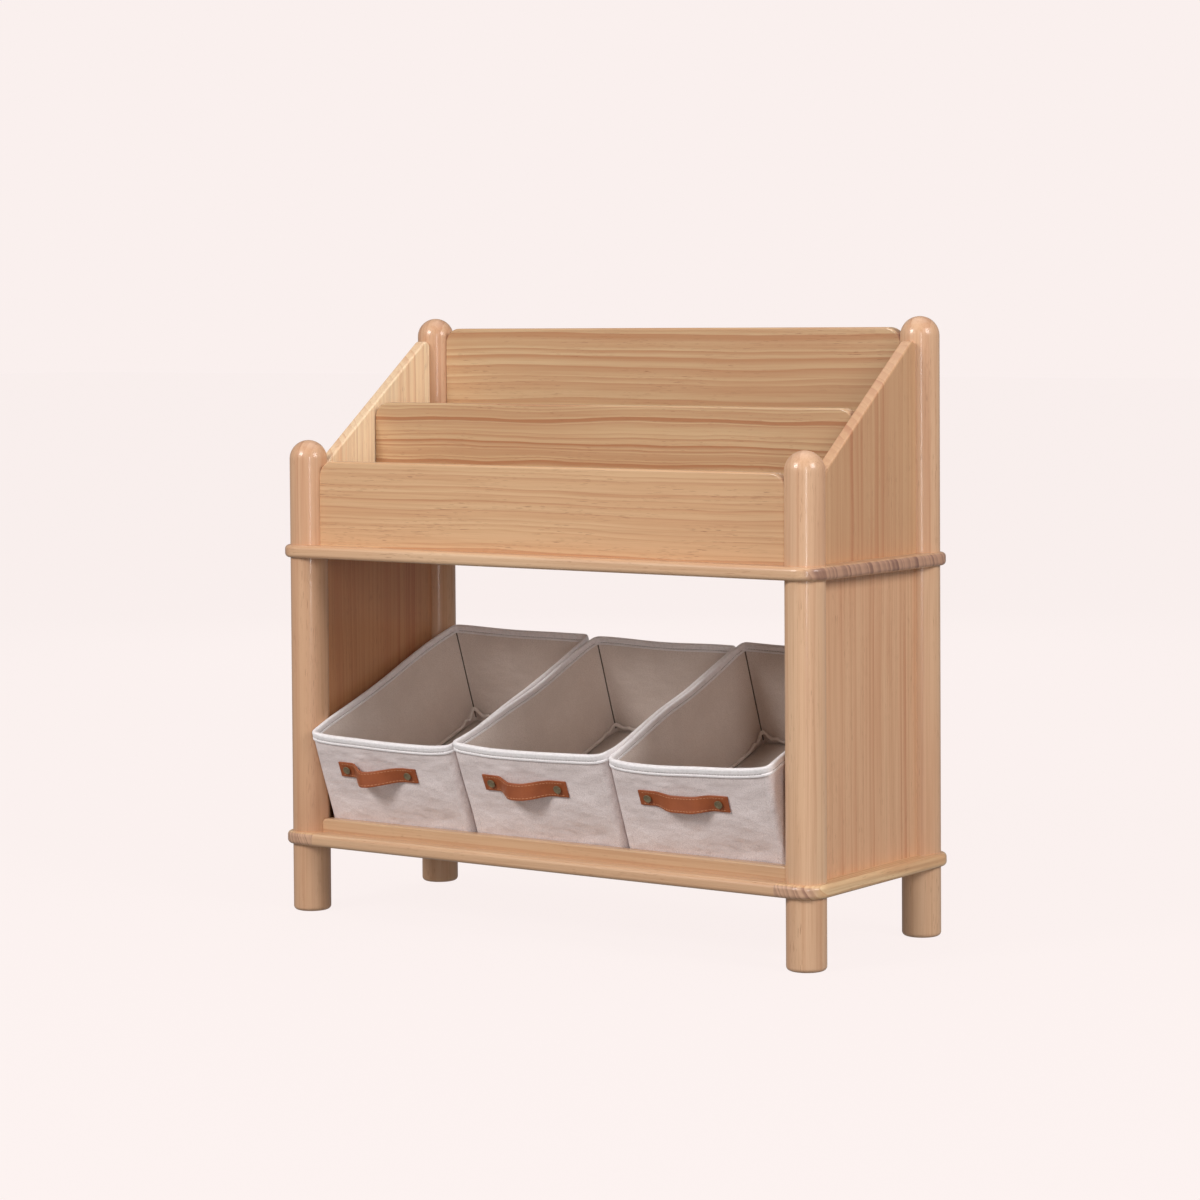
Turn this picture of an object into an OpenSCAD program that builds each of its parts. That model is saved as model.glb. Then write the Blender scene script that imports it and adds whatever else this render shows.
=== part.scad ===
// Children's bookshelf: book display above, open bay with three tilted fabric bins below.
// Origin on the floor at the middle of the whole footprint, front towards -Y, +Z up.

/* [Posts and feet] */
// Distance between post centres from side to side
post_gap_x = 702; // [560:1:900]
// Distance between post centres from front to back
post_gap_y = 250; // [220:1:320]
// Diameter of the round posts and feet
post_d = 45; // [36:0.5:60]
// Height of a foot below the bottom shelf
foot_h = 81; // [50:0.5:150]
// Rounding of a foot's lower edge
foot_edge_r = 5; // [2:0.5:8]
// Length of a post between the two shelves
lower_post_h = 330.5; // [290:0.5:450]
// Length of a short front post above the mid shelf
front_post_h = 125.5; // [95:0.5:220]
// Length of a tall rear post above the mid shelf
rear_post_h = 270; // [180:0.5:400]

/* [Shelves] */
// Thickness of both shelves
shelf_t = 15; // [12:0.5:22]
// How far a shelf stands out beyond the posts
shelf_over = 6.5; // [6:0.5:20]
// Rounding of the shelf edges
shelf_edge_r = 5; // [2:0.5:5.5]
// Width of the cross-grained end pieces of the bottom shelf
end_piece_w = 53; // [40:1:70]
// Thickness of the tongue that joins them to the board
tongue_t = 5; // [3:0.5:6]
// Length of that tongue
tongue_l = 12; // [6:0.5:18]

/* [Panels] */
// Thickness of every panel and side board
panel_t = 15; // [12:0.5:20]
// How far the front panel and the lip sit behind the front post centres
panel_set_back = 1.8; // [0:0.1:4]
// Height of the front panel above the mid shelf
front_panel_h = 100.5; // [80:0.5:180]
// Height of the middle divider
divider_h = 168; // [100:0.5:171]
// Height of the back panel
back_panel_h = 257.5; // [150:0.5:380]
// Height of a sloping side board at its front end
side_low_h = 94; // [75:0.5:150]
// Height of a sloping side board at its rear end
side_high_h = 249; // [120:0.5:350]
// Radius of the upper corners of front panel, divider and back panel
panel_corner_r = 20; // [6:0.5:25]
// Radius of a sloping side board's lower corner
side_low_corner_r = 15; // [6:0.5:20]
// Radius of a sloping side board's upper corner
side_high_corner_r = 7.5; // [5:0.5:20]
// Rounding of the panel edges
panel_edge_r = 2.5; // [1:0.5:4]
// Height of the lip that stops the bins
lip_h = 16; // [12:0.5:30]
// Radius of the upper lip corners
lip_corner_r = 6; // [4:0.5:8]

/* [Joinery] */
// Diameter of a wooden dowel
dowel_d = 8; // [6:0.5:8]
// Length of a wooden dowel
dowel_l = 30; // [24:1:32]
// Depth of a divider dowel in the side board
dowel_in_side = 10; // [6:0.5:10]
// Height of the lower dowel above the foot of its panel
dowel_low = 25; // [18:1:30]
// Distance of the upper dowel below the top of its panel
dowel_high = 36; // [30:1:45]
// Diameter of the threaded studs
stud_d = 8; // [6:0.5:10]
// Outer diameter of the threaded inserts
insert_d = 12; // [11:0.5:14]
// Length of a threaded insert
insert_l = 25; // [15:1:30]
// Shank diameter of the shelf screws
screw_d = 4; // [3:0.5:5]
// Length of the shelf screws
screw_l = 45; // [30:1:60]
// Distance of the outer screws from the panel ends
screw_inset = 60; // [40:1:120]

/* [Fabric bins] */
// Room left over between the last bin and its post
bin_spare = 6.5; // [2:0.5:40]
// How far the bins stand out behind the rear post centres
bin_stand_out = 44.8; // [24:0.1:60]
// Outside height of a bin
bin_h = 130; // [100:1:160]
// Angle at which the bins lean forward
bin_tilt = 20; // [10:0.5:25]
// Gap between two bins
bin_gap = 0.8; // [0.6:0.1:4]
// Gap between the left front post and the first bin
bin_side_gap = 0.9; // [0.5:0.1:4]
// Thickness of the outer fabric and of the lining
fabric_t = 0.8; // [0.5:0.1:1.5]
// Thickness of the stiffening boards
stiffener_t = 2; // [1:0.1:4]
// Radius of the upright corners inside a bin
bin_corner_r = 2.5; // [0.3:0.1:5]
// Thickness of the binding tape
tape_t = 0.9; // [0.5:0.1:1.5]
// Height of the binding tape outside the rim
tape_h = 10; // [8:0.5:20]
// Height of the binding tape inside the rim
tape_in_h = 9; // [5:0.5:20]
// Thickness of the padded base insert
insert_pad_t = 5; // [3:0.5:10]

/* [Bin handles] */
// Width of the leather strap
strap_w = 20; // [14:0.5:30]
// Thickness of the leather strap
strap_t = 2.2; // [1.5:0.1:4]
// Distance between the two rivets
rivet_gap = 94; // [80:1:120]
// Length of strap beyond each rivet
strap_tab = 12; // [8:0.5:20]
// How far the strap bows away from the bin
strap_bow = 14; // [8:0.5:25]
// Distance of the rivets below the rim
strap_drop = 44.5; // [35:0.5:70]
// How far the strap sits left of the bin's middle
strap_offset = 12; // [-30:0.5:30]
// Diameter of a rivet cap
rivet_cap_d = 10; // [7:0.5:14]
// Height of a rivet cap
rivet_cap_h = 2.6; // [1.5:0.1:4]
// Diameter of a rivet shank
rivet_d = 3; // [2:0.5:4]

/* [Clearances] */
// Gap round dowels, studs, inserts, screws and rivets
hole_gap = 0.1; // [0.05:0.01:0.2]
// Gap between a panel end and the post or board that it meets
joint_gap = 0.2; // [0.1:0.05:0.3]
// Gap under and in front of a resting bin
seat_gap = 0.3; // [0.2:0.05:0.5]
// Gap between the layers of a bin wall
ply_gap = 0.1; // [0.05:0.01:0.3]

/* [Hidden] */
$fn = 64;
BINS = [1, 2, 3];
// How far a cutting solid runs past the face that it opens
past = 1;

PINE = "burlywood";
POST_PINE = "tan";
END_PINE = "peru";
STEEL = "silver";
CANVAS = "mistyrose";
LINING = "rosybrown";
TAPE = "whitesmoke";
BOARD = "dimgray";
LEATHER = "sienna";
BRASS = "darkkhaki";

// Levels of the stack, from the floor up
bottom_z = foot_h;
bay_z = bottom_z + shelf_t;
mid_z = bay_z + lower_post_h;
display_z = mid_z + shelf_t;

post_r = post_d / 2;
side_x = post_gap_x / 2;

// Bin wall from the outside in, in a bin's own frame: x across, y back, z up along the walls
cover_in = tape_t;
stiffener_in = cover_in + fabric_t + ply_gap;
lining_in = stiffener_in + stiffener_t + ply_gap;
hollow_in = lining_in + fabric_t;
trim_in = hollow_in + tape_t + ply_gap;
wall_top = bin_h - tape_t - ply_gap;
stiffener_floor = fabric_t + ply_gap;
lining_floor = stiffener_floor + stiffener_t + ply_gap;
hollow_floor = lining_floor + fabric_t;
function bin_r(inset) = bin_corner_r + trim_in - inset;

// Foot of a bin, with y counted from the middle of the posts: its lower front edge stands on the shelf
// and its front leans on the round upper edge of the lip
lip_back_y = -post_gap_y / 2 + panel_set_back + panel_t / 2;
bin_foot_z = bay_z + seat_gap - cover_in * sin(bin_tilt);
lip_round_z = bay_z + lip_h - panel_edge_r - bin_foot_z;
bin_foot_y = lip_back_y - panel_edge_r
  + (lip_round_z * sin(bin_tilt) + panel_edge_r + seat_gap - cover_in) / cos(bin_tilt);

// Outside width and depth of a bin, and the places of its rim and of its handle
bin_rear_y = post_gap_y / 2 + bin_stand_out;
bin_d = cover_in + (bin_rear_y - bin_foot_y) / cos(bin_tilt);
bin_w = (post_gap_x - post_d - bin_side_gap - bin_spare - (len(BINS) - 1) * bin_gap) / len(BINS);
handle_x = bin_w / 2 - strap_offset;
handle_z = bin_h - strap_drop;
strap_out = strap_bow + strap_t + ply_gap - cover_in;
rim_front_y = bin_foot_y - bin_h * sin(bin_tilt);
strap_front_y = bin_foot_y - strap_out * cos(bin_tilt) - (handle_z + strap_w / 2) * sin(bin_tilt);

// Half depth of a shelf, and the shift that puts the origin in the middle of the footprint
shelf_half_y = post_gap_y / 2 + post_r + shelf_over;
footprint_front_y = min(-shelf_half_y, rim_front_y, strap_front_y);
footprint_rear_y = max(shelf_half_y, bin_rear_y);
middle_y = -(footprint_front_y + footprint_rear_y) / 2;
front_y = middle_y - post_gap_y / 2;
rear_y = middle_y + post_gap_y / 2;
front_panel_y = front_y + panel_set_back;

// Shelf plan
shelf_w = post_gap_x + post_d + 2 * shelf_over;
shelf_d = post_gap_y + post_d + 2 * shelf_over;
shelf_corner_r = post_r + shelf_over;
board_half_x = shelf_w / 2 - end_piece_w;

// Panel ends reach into the round of the posts and are coped to it
cope_r = post_r + joint_gap;
function cope_depth(far_face) = post_r - sqrt(post_r * post_r - far_face * far_face);
between_front_x = post_gap_x - post_d + 2 * cope_depth(panel_t / 2 + panel_set_back);
between_rear_x = post_gap_x - post_d + 2 * cope_depth(panel_t / 2);
between_posts_y = post_gap_y - post_d + 2 * cope_depth(panel_t / 2);
between_sides_x = post_gap_x - panel_t - 2 * joint_gap;

// Rest rail, bevelled to the tilt of the bins
rail_face_y = post_gap_y / 2 - panel_t / 2;
rail_front_h = (rail_face_y - bin_foot_y) * tan(bin_tilt) + bin_foot_z - bay_z - seat_gap / cos(bin_tilt);
rail_rear_h = rail_front_h + panel_t * tan(bin_tilt);

// Dowels: every entry is the place of a dowel's middle and the angle of its axis in plan
function levels(z, h) = [z + dowel_low, z + h - dowel_high];
function ends_x(y, zs) = [for (s = [-1, 1], z = zs) [[s * (side_x - post_r), y, z], 0]];
function ends_y(zs_front, zs_rear) = concat(
  [for (s = [-1, 1], z = zs_front) [[s * side_x, front_y + post_r, z], 90]],
  [for (s = [-1, 1], z = zs_rear) [[s * side_x, rear_y - post_r, z], 90]]
);
divider_dowel_x = side_x - panel_t / 2 + dowel_in_side - dowel_l / 2;
DOWELS = concat(
  ends_x(front_panel_y, levels(display_z, front_panel_h)),
  ends_x(rear_y, levels(display_z, back_panel_h)),
  [for (s = [-1, 1], z = levels(display_z, divider_h)) [[s * divider_dowel_x, middle_y, z], 0]],
  ends_y(levels(display_z, side_low_h), levels(display_z, side_high_h)),
  ends_y(levels(bay_z, lower_post_h), levels(bay_z, lower_post_h)),
  ends_x(rear_y, levels(bay_z, rail_front_h)),
  ends_x(front_panel_y, [bay_z + lip_h / 2])
);

// Screws up through the mid shelf, as places of their heads
screw_head_r = screw_d;
screw_head_h = screw_head_r - screw_d / 2;
SCREWS = [
  for (y = [front_panel_y, middle_y, rear_y], x = [-1, 0, 1]) [x * (between_sides_x / 2 - screw_inset), y]
];

// Left end of each bin
first_bin_x = -side_x + post_r + bin_side_gap;
function bin_x(i) = first_bin_x + (i - 1) * (bin_w + bin_gap);

// Sections and slabs with a rounded edge

// Strip of width r_out and thickness t whose far corners are rounded, up to a full half round
module edge_section(r_out, t, edge_r) {
  translate([0, -t / 2])
    square([r_out - edge_r, t]);
  if (t > 2 * edge_r) {
    translate([0, edge_r - t / 2])
      square([r_out, t - 2 * edge_r]);
    for (s = [-1, 1])
      translate([r_out - edge_r, s * (t / 2 - edge_r)])
        circle(edge_r);
  } else {
    translate([r_out - t / 2, 0])
      circle(t / 2);
  }
}

// Rectangle with round corners, with one corner of its outline box at the origin
module plan(w, d, r) {
  translate([r, 0])
    square([w - 2 * r, d]);
  translate([0, r])
    square([w, d - 2 * r]);
  for (x = [r, w - r], y = [r, d - r])
    translate([x, y])
      circle(r);
}

// Slab w by d, centred in plan, its underside at z = 0, with round corners and its edge moulded all round
module moulded_slab(w, d, t, r, edge_r) {
  translate([-w / 2 + r, -d / 2 + r, 0])
    cube([w - 2 * r, d - 2 * r, t]);
  for (s = [0, 180])
    rotate([0, 0, s]) {
      translate([w / 2 - r, d / 2 - r, t / 2])
        rotate([90, 0, 0])
          linear_extrude(d - 2 * r)
            edge_section(r, t, edge_r);
      translate([-w / 2 + r, d / 2 - r, t / 2])
        rotate([90, 0, 90])
          linear_extrude(w - 2 * r)
            edge_section(r, t, edge_r);
      translate([w / 2 - r, d / 2 - r, t / 2])
        rotate_extrude(angle = 90)
          edge_section(r, t, edge_r);
      translate([-w / 2 + r, d / 2 - r, t / 2])
        rotate([0, 0, 90])
          rotate_extrude(angle = 90)
            edge_section(r, t, edge_r);
    }
}

module shelf_blank() {
  moulded_slab(shelf_w, shelf_d, shelf_t, shelf_corner_r, shelf_edge_r);
}

// Standing board along +X from x = 0, centred on y = 0, with two round upper corners
module board(w, h, corner_r, edge_r) {
  top = h - corner_r;
  rotate([90, 0, 0])
    translate([corner_r, 0, -panel_t / 2])
      cube([w - 2 * corner_r, top, panel_t]);
  translate([corner_r, 0, top])
    rotate([0, 90, 0])
      mirror([1, 0, 0])
        linear_extrude(w - 2 * corner_r)
          edge_section(corner_r, panel_t, edge_r);
  for (s = [0, 1])
    translate([w / 2, 0, 0])
      mirror([s, 0, 0])
        translate([w / 2 - corner_r, 0, 0]) {
          linear_extrude(top)
            edge_section(corner_r, panel_t, edge_r);
          translate([0, 0, top])
            rotate([90, 0, 0])
              rotate_extrude(angle = 90)
                edge_section(corner_r, panel_t, edge_r);
        }
}

// The same with a sloping top: h0 and h1 are the heights at which its top edge would meet its ends,
// r0 and r1 the radii of the corners there
module sloping_board(w, h0, h1, r0, r1, edge_r) {
  a = atan2(h1 - h0, w);
  hull() {
    for (x = [edge_r, w - edge_r], y = [edge_r - panel_t / 2, panel_t / 2 - edge_r])
      translate([x, y, 0])
        cylinder(h = 1, r = edge_r, $fn = 24);
    for (c = [[r0, r0, h0 + r0 * tan(a)], [r1, w - r1, h1 - r1 * tan(a)]])
      translate([c[1], 0, c[2] - c[0] / cos(a)])
        rotate([90, 0, 0])
          rotate_extrude($fn = 48)
            edge_section(c[0], panel_t, edge_r, $fn = 24);
  }
}

// Cutters

module post_stack(x, y, r) {
  translate([x, y, 0])
    cylinder(h = display_z + rear_post_h, r = r);
}

module all_posts(r) {
  for (x = [-side_x, side_x], y = [front_y, rear_y])
    post_stack(x, y, r);
}

module dowel_holes() {
  for (d = DOWELS)
    translate(d[0])
      rotate([0, 90, d[1]])
        cylinder(h = dowel_l + 2 * hole_gap, d = dowel_d + 2 * hole_gap, center = true);
}

module stud_holes(z) {
  for (x = [-side_x, side_x], y = [front_y, rear_y])
    translate([x, y, z - past])
      cylinder(h = shelf_t + 2 * past, d = stud_d + 4 * hole_gap);
}

module screw_shape(gap) {
  head_r = screw_head_r + gap;
  shank_r = screw_d / 2 + gap;
  tip = screw_d + gap;
  rotate_extrude()
    polygon([
      [0, 0], [head_r, 0], [shank_r, screw_head_h], [shank_r, screw_l - tip],
      [shank_r / 4, screw_l + gap], [0, screw_l + gap]
    ]);
}

module all_screws(gap) {
  for (p = SCREWS)
    translate([p[0], p[1], mid_z])
      screw_shape(gap);
}

// Shelves

module mid_shelf() {
  color(PINE)
    difference() {
      translate([0, middle_y, mid_z])
        shelf_blank();
      stud_holes(mid_z);
      all_screws(hole_gap);
    }
}

// Part of the bottom shelf between two places along X
module bottom_part(x0, x1) {
  translate([0, middle_y, bottom_z])
    intersection() {
      shelf_blank();
      union() {
        translate([x0, -shelf_d, -past])
          cube([x1 - x0, 2 * shelf_d, shelf_t + 2 * past]);
        children();
      }
    }
}

// Tongue of the bottom board, or with a gap the groove for it
module tongue(s, gap) {
  tongue_w = 2 * shelf_half_y - 2 * shelf_edge_r;
  x = s > 0 ? board_half_x - past : -board_half_x - tongue_l - gap;
  translate([x, -tongue_w / 2 - gap, shelf_t / 2 - tongue_t / 2 - gap])
    cube([tongue_l + past + gap, tongue_w + 2 * gap, tongue_t + 2 * gap]);
}

module bottom_shelf() {
  color(PINE)
    bottom_part(-board_half_x, board_half_x)
      for (s = [-1, 1])
        tongue(s, 0);
}

module shelf_end(s) {
  x0 = s > 0 ? board_half_x : -shelf_w / 2;
  color(END_PINE)
    difference() {
      bottom_part(x0, x0 + end_piece_w);
      translate([0, middle_y, bottom_z])
        tongue(s, hole_gap);
      stud_holes(bottom_z);
    }
}

// Posts and feet

module insert_hole(z) {
  translate([0, 0, z])
    cylinder(h = insert_l + hole_gap, d = insert_d + 2 * hole_gap);
}

module upper_post(sx, y, h) {
  color(POST_PINE)
    difference() {
      translate([sx * side_x, y, display_z])
        difference() {
          rotate_extrude() {
            square([post_r, h - post_r]);
            translate([0, h - post_r])
              intersection() {
                circle(post_r);
                square(post_r);
              }
          }
          insert_hole(-hole_gap);
        }
      dowel_holes();
    }
}

module lower_post(sx, y) {
  color(POST_PINE)
    difference() {
      translate([sx * side_x, y, bay_z])
        difference() {
          cylinder(h = lower_post_h, r = post_r);
          insert_hole(-hole_gap);
          insert_hole(lower_post_h - insert_l);
        }
      dowel_holes();
    }
}

module foot(sx, y) {
  color(POST_PINE)
    translate([sx * side_x, y, 0])
      difference() {
        rotate_extrude() {
          square([post_r - foot_edge_r, foot_h]);
          translate([0, foot_edge_r])
            square([post_r, foot_h - foot_edge_r]);
          translate([post_r - foot_edge_r, foot_edge_r])
            circle(foot_edge_r);
        }
        insert_hole(foot_h - insert_l);
      }
}

// Panels

module panel_between_posts(y, w, h) {
  difference() {
    translate([-w / 2, y, display_z])
      board(w, h, panel_corner_r, panel_edge_r);
    all_posts(cope_r);
    dowel_holes();
    all_screws(hole_gap);
  }
}

module front_panel() {
  color(PINE)
    panel_between_posts(front_panel_y, between_front_x, front_panel_h);
}

module back_panel() {
  color(PINE)
    panel_between_posts(rear_y, between_rear_x, back_panel_h);
}

module divider() {
  color(PINE)
    difference() {
      translate([-between_sides_x / 2, middle_y, display_z])
        board(between_sides_x, divider_h, panel_corner_r, panel_edge_r);
      dowel_holes();
      all_screws(hole_gap);
    }
}

module upper_side(s) {
  color(PINE)
    difference() {
      translate([s * side_x, middle_y - between_posts_y / 2, display_z])
        rotate([0, 0, 90])
          sloping_board(
            between_posts_y, side_low_h, side_high_h, side_low_corner_r, side_high_corner_r, panel_edge_r
          );
      all_posts(cope_r);
      dowel_holes();
    }
}

module lower_side(s) {
  color(PINE)
    difference() {
      translate([s * side_x - panel_t / 2, middle_y - between_posts_y / 2, bay_z])
        linear_extrude(lower_post_h)
          plan(panel_t, between_posts_y, panel_edge_r);
      all_posts(cope_r);
      dowel_holes();
    }
}

module front_lip() {
  color(PINE)
    difference() {
      translate([-between_front_x / 2, front_panel_y, bay_z])
        board(between_front_x, lip_h, lip_corner_r, panel_edge_r);
      all_posts(cope_r);
      dowel_holes();
    }
}

module rest_rail() {
  color(PINE)
    difference() {
      translate([-between_rear_x / 2, rear_y - panel_t / 2, bay_z])
        rotate([90, 0, 90])
          linear_extrude(between_rear_x)
            polygon([[0, 0], [panel_t, 0], [panel_t, rail_rear_h], [0, rail_front_h]]);
      all_posts(cope_r);
      dowel_holes();
    }
}

// Fasteners

module studs() {
  stud_l = shelf_t + 2 * insert_l - 4 * hole_gap;
  color(STEEL)
    for (x = [-side_x, side_x], y = [front_y, rear_y], z = [bottom_z, mid_z])
      translate([x, y, z + shelf_t / 2])
        cylinder(h = stud_l, d = stud_d, center = true);
}

module threaded_inserts() {
  color(BRASS)
    for (x = [-side_x, side_x], y = [front_y, rear_y], z = [bottom_z - insert_l, bay_z, mid_z - insert_l, display_z])
      translate([x, y, z])
        difference() {
          cylinder(h = insert_l, d = insert_d);
          translate([0, 0, -past])
            cylinder(h = insert_l + 2 * past, d = stud_d + 2 * hole_gap);
        }
}

module dowels() {
  bevel = dowel_d / 8;
  color(PINE)
    for (d = DOWELS)
      translate(d[0])
        rotate([0, 90, d[1]])
          rotate_extrude()
            polygon([
              [0, -dowel_l / 2], [dowel_d / 2 - bevel, -dowel_l / 2], [dowel_d / 2, bevel - dowel_l / 2],
              [dowel_d / 2, dowel_l / 2 - bevel], [dowel_d / 2 - bevel, dowel_l / 2], [0, dowel_l / 2]
            ]);
}

module shelf_screws() {
  color(STEEL)
    all_screws(0);
}

// Bins

module in_bin(i) {
  translate([bin_x(i), middle_y + bin_foot_y, bin_foot_z])
    rotate([bin_tilt, 0, 0])
      children();
}

// Upright block with round corners, held back by inset from the bin's outline
module bin_block(inset, z0, z1) {
  translate([inset, inset, z0])
    linear_extrude(z1 - z0)
      plan(bin_w - 2 * inset, bin_d - 2 * inset, bin_r(inset));
}

module rivet_holes(r) {
  for (s = [-1, 1])
    translate([handle_x + s * rivet_gap / 2, 0, handle_z])
      rotate([-90, 0, 0])
        cylinder(h = 4 * hollow_in, r = r, center = true);
}

module bin_cover(i) {
  color(CANVAS)
    in_bin(i)
      difference() {
        bin_block(cover_in, 0, wall_top);
        bin_block(cover_in + fabric_t, fabric_t, bin_h);
        rivet_holes(rivet_d / 2 + hole_gap);
      }
}

// Five flat boards: the base, then front and back, then the two sides between them
module bin_stiffeners(i) {
  w = bin_w - 2 * stiffener_in;
  d = bin_d - 2 * stiffener_in;
  stand = stiffener_floor + stiffener_t + ply_gap;
  h = wall_top - ply_gap - stand;
  corner = bin_r(stiffener_in);
  color(BOARD)
    in_bin(i)
      difference() {
        union() {
          translate([stiffener_in, stiffener_in, stiffener_floor])
            linear_extrude(stiffener_t)
              plan(w, d, corner);
          for (y = [stiffener_in, stiffener_in + d - stiffener_t])
            translate([stiffener_in + corner, y, stand])
              cube([w - 2 * corner, stiffener_t, h]);
          for (x = [stiffener_in, stiffener_in + w - stiffener_t])
            translate([x, stiffener_in + corner, stand])
              cube([stiffener_t, d - 2 * corner, h]);
        }
        rivet_holes(rivet_d / 2 + hole_gap);
      }
}

module bin_lining(i) {
  color(LINING)
    in_bin(i)
      difference() {
        bin_block(lining_in, lining_floor, wall_top);
        bin_block(hollow_in, hollow_floor, bin_h);
        rivet_holes(rivet_d / 2 + hole_gap);
      }
}

module bin_binding(i) {
  color(TAPE)
    in_bin(i)
      difference() {
        bin_block(0, bin_h - tape_h, bin_h);
        bin_block(cover_in - ply_gap, bin_h - tape_h - past, wall_top + ply_gap);
        bin_block(trim_in, bin_h - tape_h - past, bin_h + past);
      }
  color(TAPE)
    in_bin(i)
      difference() {
        bin_block(hollow_in + ply_gap, bin_h - tape_in_h, wall_top + 2 * ply_gap);
        bin_block(trim_in, bin_h - tape_in_h - past, bin_h);
      }
}

// Padded board with a piped edge
module bin_base_insert(i) {
  inset = hollow_in + seat_gap;
  w = bin_w - 2 * inset;
  d = bin_d - 2 * inset;
  color(LINING)
    in_bin(i)
      translate([bin_w / 2, bin_d / 2, hollow_floor + ply_gap])
        moulded_slab(w, d, insert_pad_t, insert_pad_t + bin_corner_r, insert_pad_t / 2);
}

// Bow of the strap away from the bin at a distance x from its middle
bow_half = rivet_gap / 2 - rivet_cap_d * 0.75;
bow_steps = 24;
function bow(x) = strap_bow / 2 * (1 + cos(180 * x / bow_half));
function bow_slope(x) = -strap_bow / 2 * PI / bow_half * sin(180 * x / bow_half);
function bow_point(x, off) = let (m = bow_slope(x), n = sqrt(1 + m * m)) [x - off * m / n, bow(x) + off / n];
BOW_X = [for (i = [0 : bow_steps]) -bow_half + 2 * bow_half * i / bow_steps];
strap_half = rivet_gap / 2 + strap_tab;

module bin_handle(i) {
  color(LEATHER)
    in_bin(i)
      difference() {
        translate([handle_x, cover_in - ply_gap, handle_z - strap_w / 2])
          mirror([0, 1, 0])
            linear_extrude(strap_w)
              polygon(concat(
                [[-strap_half, 0]], [for (x = BOW_X) bow_point(x, 0)], [[strap_half, 0], [strap_half, strap_t]],
                [for (k = [bow_steps : -1 : 0]) bow_point(BOW_X[k], strap_t)], [[-strap_half, strap_t]]
              ));
        rivet_holes(rivet_d / 2 + hole_gap);
      }
}

// Two rivets: a domed cap outside, a shank through strap and wall, a flat cap inside
module bin_rivets(i) {
  outer = cover_in - ply_gap - strap_t - hole_gap;
  inner = hollow_in + hole_gap;
  edge_h = rivet_cap_h / 3;
  dome_h = rivet_cap_h - edge_h;
  cap_r = rivet_cap_d / 2;
  dome_r = (cap_r * cap_r + dome_h * dome_h) / (2 * dome_h);
  color(BRASS)
    in_bin(i)
      for (s = [-1, 1])
        translate([handle_x + s * rivet_gap / 2, outer, handle_z])
          rotate([90, 0, 0])
            rotate_extrude() {
              translate([0, outer - inner])
                square([rivet_d / 2, inner - outer + edge_h]);
              translate([0, outer - inner - tape_t])
                square([cap_r, tape_t]);
              square([cap_r, edge_h]);
              intersection() {
                translate([0, edge_h])
                  square([cap_r, dome_h]);
                translate([0, rivet_cap_h - dome_r])
                  circle(dome_r);
              }
            }
}

mid_shelf();
bottom_shelf();
shelf_end(-1);  // shelf_end_left
shelf_end(1);  // shelf_end_right
upper_post(-1, front_y, front_post_h);  // upper_post_front_left
upper_post(1, front_y, front_post_h);  // upper_post_front_right
upper_post(-1, rear_y, rear_post_h);  // upper_post_rear_left
upper_post(1, rear_y, rear_post_h);  // upper_post_rear_right
lower_post(-1, front_y);  // lower_post_front_left
lower_post(1, front_y);  // lower_post_front_right
lower_post(-1, rear_y);  // lower_post_rear_left
lower_post(1, rear_y);  // lower_post_rear_right
foot(-1, front_y);  // foot_front_left
foot(1, front_y);  // foot_front_right
foot(-1, rear_y);  // foot_rear_left
foot(1, rear_y);  // foot_rear_right
front_panel();
divider();
back_panel();
upper_side(-1);  // upper_side_left
upper_side(1);  // upper_side_right
lower_side(-1);  // lower_side_left
lower_side(1);  // lower_side_right
front_lip();
rest_rail();
studs();
threaded_inserts();
dowels();
shelf_screws();
for (i = BINS) {
  bin_cover(i);
  bin_stiffeners(i);
  bin_lining(i);
  bin_binding(i);
  bin_base_insert(i);
  bin_handle(i);
  bin_rivets(i);
}
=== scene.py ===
"""Looks of a low children's bookshelf: finishes on its solids, and its three sewn bins modelled anew."""

from __future__ import annotations

import logging
import math
from dataclasses import dataclass, field
from enum import Enum
from functools import partial
from typing import Any, Callable, Sequence, Union

import bpy
from mathutils import Matrix, Vector

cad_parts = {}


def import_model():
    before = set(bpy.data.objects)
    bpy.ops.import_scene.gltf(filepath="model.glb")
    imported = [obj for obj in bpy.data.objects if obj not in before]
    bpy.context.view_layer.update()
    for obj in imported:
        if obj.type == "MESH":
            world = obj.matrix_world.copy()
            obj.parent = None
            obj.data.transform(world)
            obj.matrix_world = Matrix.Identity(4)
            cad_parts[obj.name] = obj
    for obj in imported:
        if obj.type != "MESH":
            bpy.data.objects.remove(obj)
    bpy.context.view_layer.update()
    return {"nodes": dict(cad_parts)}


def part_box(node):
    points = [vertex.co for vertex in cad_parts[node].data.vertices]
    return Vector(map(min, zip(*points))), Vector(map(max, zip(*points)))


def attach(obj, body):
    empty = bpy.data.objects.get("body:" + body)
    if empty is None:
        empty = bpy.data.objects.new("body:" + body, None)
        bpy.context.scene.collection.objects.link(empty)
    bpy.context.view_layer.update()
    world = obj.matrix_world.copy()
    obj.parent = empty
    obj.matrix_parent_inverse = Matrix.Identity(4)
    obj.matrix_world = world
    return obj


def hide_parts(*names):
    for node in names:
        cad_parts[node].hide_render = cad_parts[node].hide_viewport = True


LOG = logging.getLogger("bookshelf")
MM = 0.001
Colour = tuple[float, float, float, float]
Place = Sequence[float]


def srgb(*channels: int) -> Colour:
    """Turns a colour as seen on screen, with channels from 0 to 255, into linear light with full alpha."""
    shares = [value / 255 for value in channels]
    return (*(share / 12.92 if share <= 0.04045 else ((share + 0.055) / 1.055) ** 2.4 for share in shares), 1.0)


def unit(value: float) -> float:
    """Holds a value between 0 and 1."""
    return min(1.0, max(0.0, value))


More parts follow.
